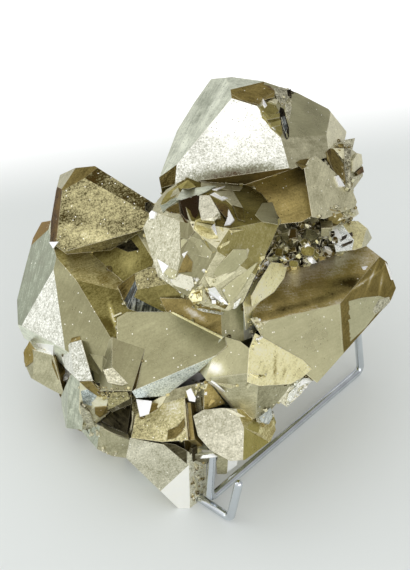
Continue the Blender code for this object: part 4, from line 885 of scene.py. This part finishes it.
def etch(mesh, stone, chosen, places, inner, strength):
    """Raises and sinks the points inside each face by its finish's relief."""
    depth = np.array([FINISHES[name]["relief"] for name, _, _ in chosen]) * MM * strength
    normals = np.array([list(normal) for normal in stone.normals])
    for i in np.flatnonzero(inner >= 0):
        if depth[inner[i]]:
            at = Vector(places[i] / MM)
            rise = noise.noise(at * COARSE_WAVE) + FINE_SHARE * noise.noise(at * FINE_WAVE)
            places[i] += normals[inner[i]] * depth[inner[i]] * rise
    mesh.vertices.foreach_set("co", places.reshape(-1))
    mesh.update()


def build_skin(settings):
    """The stone's skin, with relief on its etched faces and a finish on every facet."""
    stone = Stone()
    chosen = facet_finishes(stone)
    mesh = skin_mesh(stone, chosen, settings.cell)
    places, triangles, facet, inner = skin_arrays(stone, mesh)
    set_texture(mesh, stone, chosen, places, triangles, facet)
    etch(mesh, stone, chosen, places, inner, settings.relief)
    made = as_object("pyrite_skin", mesh)
    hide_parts("pyrite_cluster")


# ---------------------------------------------------------------- chips and small crystals


class Flakes:
    """Collects flat-faced bodies, with a finish, a tone and a grain direction for each face."""

    def __init__(self):
        self.points = []
        self.faces = []
        self.finishes = []
        self.tones = []
        self.lies = []

    def face(self, corners, finish, tone, along, across):
        """One flat face; its corners are numbers of points."""
        self.faces.append(corners)
        self.finishes.append(finish)
        self.tones.append(tone)
        shift = Vector(FACET_SHIFT) * len(self.faces)
        for corner in corners:
            place = Vector(self.points[corner]) / MM
            self.lies.append(Vector((place.dot(along), place.dot(across), 0)) + shift)

    def make(self, name, edge_highlight):
        """One object of all the bodies; the last argument is how strongly the painted highlight along
        its edges shows.
        """
        mesh = bpy.data.meshes.new(name)
        mesh.from_pydata(self.points, [], self.faces)
        names = list(FINISHES)
        for each in names:
            mesh.materials.append(bpy.data.materials["pyrite_" + each])
        mesh.polygons.foreach_set("material_index", [names.index(each) for each in self.finishes])
        store(mesh, "lie", "FLOAT_VECTOR", [list(lie) for lie in self.lies])
        counts = [len(corners) for corners in self.faces]
        store(mesh, "tone", "FLOAT", np.repeat(self.tones, counts))
        store(mesh, "edge_highlight", "FLOAT", np.full(sum(counts), edge_highlight))
        mesh.validate()
        as_object(name, mesh)


def corner_place(stone, place, normal, middle, corner):
    """A plate's corner and its foot. The corner lies on the stone, or on the plane of its face with
    a foot that goes back to the stone, and is drawn in where it would stand past the rim."""
    for share in DRAW_IN:
        x = middle[0] + (corner[0] - middle[0]) * share
        y = middle[1] + (corner[1] - middle[1]) * share
        direction = sheet_direction(x, y)
        hit = stone.tree.ray_cast(EYE, direction)[0]
        on_plane = EYE + direction * ((place - EYE).dot(normal) / direction.dot(normal))
        gap = PLATE_REACH if hit is None else (hit - on_plane).length
        if gap < PLATE_NEAR:
            return hit, None
        if gap < PLATE_REACH:
            return on_plane, hit + direction * PLATE_ROOT
    return on_plane, None


def chip(flakes, stone, number, finish, tone, height, angle, outline):
    """A plate or chip that stands on the stone: a slightly tilted top and sides that sink in."""
    rng = np.random.default_rng(number)
    middle = [sum(values) / len(outline) for values in zip(*outline)]
    place, _, normal = stone.seen(*middle)
    tilt_along, tilt_across = rng.uniform(-PLATE_TILT, PLATE_TILT, 2)
    along, across = lie_axes(normal, angle)
    tops, feet = [], []
    for corner in outline:
        edge, foot = corner_place(stone, place, normal, middle, corner)
        away = edge - place
        lift = height * MM + away.dot(along) * tilt_along + away.dot(across) * tilt_across
        tops.append(edge + normal * max(lift, PLATE_LEAST))
        feet.append(foot)
    count = len(tops)
    turning = sum((tops[i] - place).cross(tops[(i + 1) % count] - place).dot(normal)
                  for i in range(count))
    if turning < 0:
        tops.reverse()
        feet.reverse()
    heart = sum(tops, Vector()) / count
    sunk = height * MM + PLATE_ROOT
    start = len(flakes.points)
    for top, foot in zip(tops, feet):
        out = (top - heart).normalized() * min(PLATE_BATTER, height / 2) * MM
        flakes.points.append(tuple(top))
        flakes.points.append(tuple(foot or top + out - normal * sunk))
    flakes.face([start + 2 * i for i in range(count)], finish, tone, along, across)
    for i in range(count):
        j = (i + 1) % count
        side = [start + 2 * i, start + 2 * i + 1, start + 2 * j + 1, start + 2 * j]
        flakes.face(side, finish, tone + rng.uniform(*PLATE_SIDE_TONES), along, across)


def crystal_forms():
    """A cube, an octahedron-cut cube and a pyritohedron of unit size: points and flat faces."""
    forms = []
    cube = [(x, y, z) for x in (-1, 1) for y in (-1, 1) for z in (-1, 1)]
    half = 0.5
    pyritohedron = list(cube)
    for a in (-(1 + half), 1 + half):
        for b in (-(1 - half * half), 1 - half * half):
            pyritohedron += [(0, a, b), (a, b, 0), (b, 0, a)]
    cut = 0.55
    truncated = []
    for x, y, z in cube:
        truncated += [(x * cut, y, z), (x, y * cut, z), (x, y, z * cut)]
    for points in (cube, truncated, pyritohedron):
        shape = bmesh.new()
        for point in points:
            shape.verts.new(point)
        bmesh.ops.convex_hull(shape, input=shape.verts)
        bmesh.ops.dissolve_limit(shape, angle_limit=0.02, verts=shape.verts, edges=shape.edges)
        shape.verts.index_update()
        corners = np.array([vert.co[:] for vert in shape.verts])
        corners /= np.abs(corners).max()
        forms.append((corners, [([vert.index for vert in face.verts], face.normal.copy())
                                for face in shape.faces]))
        shape.free()
    return forms


def crystal(flakes, forms, rng, place, normal, size, tones, finishes):
    """A small crystal half sunk in the stone, turned at random."""
    corners, faces = forms[rng.integers(len(forms))]
    axis = Vector(rng.normal(size=3)).normalized()
    turn = np.array(Quaternion(axis, rng.uniform(0, math.pi)).to_matrix())
    shape = rng.uniform(*CRYSTAL_STRETCH, 3) * size * MM / 2
    centre = place + normal * size * MM * rng.uniform(*CRYSTAL_RISE)
    start = len(flakes.points)
    for corner in (corners * shape) @ turn.T:
        flakes.points.append(tuple(np.array(centre) + corner))
    finish = finishes[rng.integers(len(finishes))]
    for numbers, facing in faces:
        facing = Vector(turn @ np.array(facing))
        along, across = lie_axes(facing, 0)
        flakes.face([start + number for number in numbers], finish, rng.uniform(*tones), along, across)


def inside(outline, x, y):
    """Whether a place lies inside an outline."""
    odd = False
    for (x1, y1), (x2, y2) in zip(outline, outline[1:] + outline[:1]):
        if (y1 > y) != (y2 > y) and x < x1 + (y - y1) * (x2 - x1) / (y2 - y1):
            odd = not odd
    return odd


def creases(stone):
    """Places in the inner corners between crystals, with the direction out of each."""
    found = []
    for edge in stone.shape.edges:
        if len(edge.link_faces) != 2 or edge.calc_length() < CREASE_LENGTH:
            continue
        one, other = edge.link_faces
        opposite = next(vert for vert in other.verts if vert not in edge.verts)
        rise = (opposite.co - edge.verts[0].co).dot(one.normal)
        if rise > CREASE_DEPTH:
            found.append((edge.verts[0].co.copy(), edge.verts[1].co.copy(),
                          (one.normal + other.normal).normalized()))
    return found


def build_chips():
    """Growth plates, ledges and chips on the crystals' faces, among them sheets of painted shade and
    painted glints.
    """
    stone = Stone()
    flakes = Flakes()
    for number, values in enumerate(CHIPS):
        chip(flakes, stone, number, *values)
    flakes.make("growth_plates", PLATE_EDGE_HIGHLIGHT)


def fill_bed(flakes, forms, stone, number, outline, count, sizes, tones, finishes):
    """Small crystals, most of them near the smaller size, on what shows inside an outline."""
    rng = np.random.default_rng(BED_SEED + number)
    low, high = np.min(outline, axis=0), np.max(outline, axis=0)
    placed = 0
    while placed < count:
        x, y = (float(value) for value in rng.uniform(low, high))
        if not inside(outline, x, y):
            continue
        placed += 1
        place, _, face, _ = stone.tree.ray_cast(EYE, sheet_direction(x, y))
        if place is None:
            continue
        size = sizes[0] + (sizes[1] - sizes[0]) * rng.random() ** 2
        normal = stone.normals[stone.facet_of[face]]
        crystal(flakes, forms, rng, place, normal, size, tones, finishes)


def fill_crease(flakes, forms, stone, rng, start, end, out, each_mm):
    """Small crystals along an inner corner, fewer and smaller where the display view sees it."""
    for _ in range(rng.poisson((end - start).length / MM * each_mm)):
        place = start.lerp(end, rng.random())
        toward = (EYE - place).normalized()
        open_view = stone.tree.ray_cast(place + out * CREASE_CLEARANCE, toward)[0] is None
        size = rng.uniform(*(CREASE_OPEN_SIZES if open_view else CREASE_HIDDEN_SIZES))
        if open_view and rng.random() < CREASE_OPEN_LEFT_OUT or place.z < size * MM:
            continue
        crystal(flakes, forms, rng, place, out, size, CREASE_TONES, CREASE_FINISHES)


def build_crystals(settings):
    """Small crystals: the gravelly hollow, rough strips, and the creases on every side."""
    stone = Stone()
    forms = crystal_forms()
    flakes = Flakes()
    for number, values in enumerate(BEDS):
        fill_bed(flakes, forms, stone, number, *values)
    rng = np.random.default_rng(CREASE_SEED)
    for start, end, out in creases(stone):
        fill_crease(flakes, forms, stone, rng, start, end, out, settings.crease_share)
    flakes.make("small_crystals", CRYSTAL_EDGE_HIGHLIGHT)


# ---------------------------------------------------------------- the stand


def stand_routes():
    """The frame's four corners and the foot's route, as middles of the wire."""
    near = np.array(FRAME_NEAR_CORNER)
    far = np.array(FRAME_FAR_CORNER)
    along = np.array((*(far - near)[:2], 0))
    along /= np.linalg.norm(along)
    back = np.array((-along[1], along[0], 0))

    def leg_top(corner, inward):
        lean = inward * math.tan(LEG_CONVERGENCE) + back * math.tan(FRAME_LEAN)
        return corner + (FRAME_HEIGHT - corner[2]) * (lean + np.array((0, 0, 1)))

    heel = np.array(HEEL)
    run = np.array((math.cos(FOOT_RUN), math.sin(FOOT_RUN), 0))
    lip = np.array((0, 0, 1)) - run * math.tan(LIP_LEAN)
    foot = [heel + run * FOOT_LENGTH, heel, heel + lip * (LIP_HEIGHT - WIRE / 2)]
    return [near, far, leg_top(far, -along), leg_top(near, along)], foot


def rounded(corners, closed, steps=10):
    """The route through the corners, with each bend as an arc."""
    route = []
    count = len(corners)
    for i, corner in enumerate(corners):
        if not closed and i in (0, count - 1):
            route.append(corner)
            continue
        before = corners[i - 1] - corner
        after = corners[(i + 1) % count] - corner
        before, after = before / np.linalg.norm(before), after / np.linalg.norm(after)
        half = math.acos(np.clip(before @ after, -1, 1)) / 2
        centre = corner + (before + after) / np.linalg.norm(before + after) * BEND / math.sin(half)
        start = corner + before * BEND / math.tan(half)
        end = corner + after * BEND / math.tan(half)
        turn = math.pi - 2 * half
        for step in range(steps + 1):
            share = step / steps
            a = math.sin((1 - share) * turn) / math.sin(turn)
            b = math.sin(share * turn) / math.sin(turn)
            route.append(centre + a * (start - centre) + b * (end - centre))
    return route


def smooth_wire(name, route, radius, closed):
    """A round wire along a route, with a rounded tip where it ends."""
    radii = [1.0] * len(route)
    if not closed:
        run = (route[-1] - route[-2]) / np.linalg.norm(route[-1] - route[-2])
        tip = route.pop()
        for angle in TIP_ANGLES:
            route.append(tip - run * radius * (1 - math.sin(math.radians(angle))))
            radii.append(math.cos(math.radians(angle)))
        radii.pop(0)
    guide = bpy.data.curves.new(name, "CURVE")
    guide.dimensions = "3D"
    guide.bevel_depth = radius
    guide.bevel_resolution = 10
    guide.use_fill_caps = not closed
    line = guide.splines.new("POLY")
    line.points.add(len(route) - 1)
    for point, place, size in zip(line.points, route, radii):
        point.co = (*place, 1)
        point.radius = size
    line.use_cyclic_u = closed
    holder = bpy.data.objects.new(name, guide)
    bpy.context.scene.collection.objects.link(holder)
    finished = holder.evaluated_get(bpy.context.evaluated_depsgraph_get())
    mesh = bpy.data.meshes.new_from_object(finished)
    bpy.data.objects.remove(holder)
    mesh.name = name
    shape = bmesh.new()
    shape.from_mesh(mesh)
    bmesh.ops.remove_doubles(shape, verts=shape.verts, dist=MELT / 2)
    shape.to_mesh(mesh)
    shape.free()
    mesh.shade_smooth()
    mesh.set_sharp_from_angle(angle=TIP_CREASE)
    return mesh


def build_wires(settings):
    """The frame and the foot of the stand, as smooth plated wire."""
    frame_route, foot_route = stand_routes()
    metal = wire_finish((*settings.tint, 1))
    wires = (("stand_frame", frame_route, True), ("stand_foot", foot_route, False))
    for name, route, closed in wires:
        mesh = smooth_wire(name + "_wire", rounded(route, closed), WIRE / 2, closed)
        mesh.materials.clear()
        mesh.materials.append(metal)
        made = as_object(name + "_wire", mesh)
        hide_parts(name)


# ---------------------------------------------------------------- the stage


def floor_finish(tint):
    """Pale paper with painted light: a faint glow lightens its shadows, and it brightens to a glowing
    white behind the specimen.
    """
    made = Nodes("pale_floor")
    place = made.add("ShaderNodeTexCoord").outputs["Object"]
    away = made.add("ShaderNodeVectorMath", {0: place, 1: FLOOR_AWAY}, operation="DOT_PRODUCT")
    values = {"Value": away.outputs["Value"], "From Min": FLOOR_TURN, "From Max": FLOOR_END}
    far = made.add("ShaderNodeMapRange", values, interpolation_type="SMOOTHSTEP").outputs[0]
    glow = made.scaled(far, FLOOR_FAR_GLOW, FLOOR_GLOW)
    return made.surface({
        "Base Color": made.mix(far, tint, FLOOR_FAR), "Roughness": 0.6,
        "Emission Color": (1, 1, 1, 1), "Emission Strength": glow})


def area_light(name, place, aim, size, tint, power):
    """A soft rectangular lamp that points at its aim."""
    lamp = bpy.data.lights.new(name, "AREA")
    lamp.shape = "RECTANGLE"
    lamp.size, lamp.size_y = size
    lamp.energy = power
    lamp.color = tint
    made = bpy.data.objects.new(name, lamp)
    made.location = place
    made.rotation_euler = (Vector(aim) - Vector(place)).to_track_quat("-Z", "Y").to_euler()
    bpy.context.scene.collection.objects.link(made)


def sky(strength):
    """Soft light from all round, brightest on one side."""
    world = bpy.data.worlds.new("studio")
    bpy.context.scene.world = world
    world.use_nodes = True
    nodes = world.node_tree.nodes
    links = world.node_tree.links
    nodes.clear()
    place = nodes.new("ShaderNodeTexCoord")
    facing = nodes.new("ShaderNodeVectorMath")
    facing.operation = "DOT_PRODUCT"
    facing.inputs[1].default_value = SKY_SIDE
    links.new(place.outputs["Generated"], facing.inputs[0])
    ramp = nodes.new("ShaderNodeMapRange")
    ramp.inputs["From Min"].default_value = SKY_FROM
    ramp.inputs["From Max"].default_value = SKY_TO
    ramp.inputs["To Min"].default_value = SKY_DIM * strength
    ramp.inputs["To Max"].default_value = SKY_BRIGHT * strength
    links.new(facing.outputs["Value"], ramp.inputs["Value"])
    light = nodes.new("ShaderNodeBackground")
    light.inputs["Color"].default_value = (1, 1, 1, 1)
    links.new(ramp.outputs[0], light.inputs["Strength"])
    out = nodes.new("ShaderNodeOutputWorld")
    links.new(light.outputs[0], out.inputs["Surface"])


def build_stage(settings):
    """Floor, lamps, sky and camera."""
    shape = bmesh.new()
    bmesh.ops.create_grid(shape, x_segments=8, y_segments=8, size=FLOOR_HALF)
    mesh = bpy.data.meshes.new("pale_floor")
    shape.to_mesh(mesh)
    shape.free()
    mesh.materials.append(floor_finish((*settings.floor, 1)))
    floor = bpy.data.objects.new("pale_floor", mesh)
    bpy.context.scene.collection.objects.link(floor)
    area_light("overhead", *OVERHEAD, settings.power)
    area_light("window", *WINDOW, settings.window)
    area_light("front_fill", *FRONT_FILL, settings.fill)
    sky(settings.sky)
    display_view()


def display_view():
    """The camera, which shows the layout sheet from edge to edge."""
    view = bpy.data.cameras.new("display_view")
    view.sensor_width = SENSOR
    view.lens = VIEW_DISTANCE / SHEET_STEP / SHEET_SIZE[1] * SENSOR
    camera = bpy.data.objects.new("display_view", view)
    camera.location = EYE
    camera.rotation_euler = (math.pi / 2 - VIEW_ELEVATION, 0, 0)
    bpy.context.scene.collection.objects.link(camera)
    bpy.context.scene.camera = camera
    bpy.context.scene.view_settings.view_transform = "Standard"


# ---------------------------------------------------------------- the add-on


class StoneSettings(bpy.types.PropertyGroup):
    cell: bpy.props.FloatProperty(
        name="Cell", description="Longest side of a triangle on the faces that are seen",
        default=0.001, min=0.0005, subtype="DISTANCE", unit="LENGTH")
    relief: bpy.props.FloatProperty(
        name="Relief", description="How strongly the etched faces are etched", default=1.0, min=0.0,
        subtype="FACTOR")
    crease_share: bpy.props.FloatProperty(
        name="Crystals in creases", description="Small crystals for each millimetre of crease",
        default=0.18, min=0.0)


class WireSettings(bpy.types.PropertyGroup):
    tint: bpy.props.FloatVectorProperty(
        name="Plating", description="Colour of the plated wire", default=(0.72, 0.76, 0.80),
        min=0, max=1, subtype="COLOR")


class StageSettings(bpy.types.PropertyGroup):
    floor: bpy.props.FloatVectorProperty(
        name="Floor", description="Colour of the floor", default=(0.53, 0.56, 0.545),
        min=0, max=1, subtype="COLOR")
    power: bpy.props.FloatProperty(
        name="Overhead light", description="Power of the overhead light", default=4.0, min=0,
        unit="POWER")
    window: bpy.props.FloatProperty(
        name="Window light", description="Power of the low light on the left", default=1.2, min=0,
        unit="POWER")
    fill: bpy.props.FloatProperty(
        name="Front fill light", description="Power of the low light in front", default=3.2, min=0,
        unit="POWER")
    sky: bpy.props.FloatProperty(
        name="Sky", description="Strength of the light from all round", default=0.9, min=0)


class PYRITE_OT_skin(bpy.types.Operator):
    """Build the stone's skin, facet by facet"""

    bl_idname = "pyrite.skin"
    bl_label = "Stone"

    def execute(self, context):
        for name, look in FINISHES.items():
            face_finish(name, look)
        build_skin(context.scene.pyrite_stone)
        return {"FINISHED"}


class PYRITE_OT_plates(bpy.types.Operator):
    """Set growth plates and chips on the faces"""

    bl_idname = "pyrite.plates"
    bl_label = "Growth plates"

    def execute(self, context):
        build_chips()
        return {"FINISHED"}


class PYRITE_OT_crystals(bpy.types.Operator):
    """Scatter small crystals in the hollow and the creases"""

    bl_idname = "pyrite.crystals"
    bl_label = "Small crystals"

    def execute(self, context):
        build_crystals(context.scene.pyrite_stone)
        return {"FINISHED"}


class PYRITE_OT_wires(bpy.types.Operator):
    """Bend the stand's two wires"""

    bl_idname = "pyrite.wires"
    bl_label = "Wire stand"

    def execute(self, context):
        build_wires(context.scene.pyrite_wire)
        return {"FINISHED"}


class PYRITE_OT_stage(bpy.types.Operator):
    """Set the floor, the lights and the camera"""

    bl_idname = "pyrite.stage"
    bl_label = "Stage"

    def execute(self, context):
        build_stage(context.scene.pyrite_stage)
        return {"FINISHED"}


class PYRITE_PT_panel(bpy.types.Panel):
    """The specimen's sizes and colours, and a button for each group of pieces"""

    bl_idname = "PYRITE_PT_panel"
    bl_label = "Pyrite specimen"
    bl_space_type = "VIEW_3D"
    bl_region_type = "UI"
    bl_category = "Pyrite"

    def draw(self, context):
        scene = context.scene
        for settings, steps in STEPS:
            group = getattr(scene, settings)
            for field in group.bl_rna.properties:
                if field.identifier not in {"rna_type", "name"}:
                    self.layout.prop(group, field.identifier)
            for step in steps:
                self.layout.operator(step)


STEPS = (
    ("pyrite_stone", ("pyrite.skin", "pyrite.plates", "pyrite.crystals")),
    ("pyrite_wire", ("pyrite.wires",)),
    ("pyrite_stage", ("pyrite.stage",)),
)
GROUPS = {"pyrite_stone": StoneSettings, "pyrite_wire": WireSettings, "pyrite_stage": StageSettings}
CLASSES = (StoneSettings, WireSettings, StageSettings, PYRITE_OT_skin, PYRITE_OT_plates,
           PYRITE_OT_crystals, PYRITE_OT_wires, PYRITE_OT_stage, PYRITE_PT_panel)


def register():
    for each in CLASSES:
        bpy.utils.register_class(each)
    for name, group in GROUPS.items():
        setattr(bpy.types.Scene, name, bpy.props.PointerProperty(type=group))


def unregister():
    for name in GROUPS:
        delattr(bpy.types.Scene, name)
    for each in reversed(CLASSES):
        bpy.utils.unregister_class(each)


def main():
    register()
    bpy.ops.pyrite.skin()
    bpy.ops.pyrite.plates()
    bpy.ops.pyrite.crystals()
    bpy.ops.pyrite.wires()
    bpy.ops.pyrite.stage()


if __name__ == "__main__":
    main()
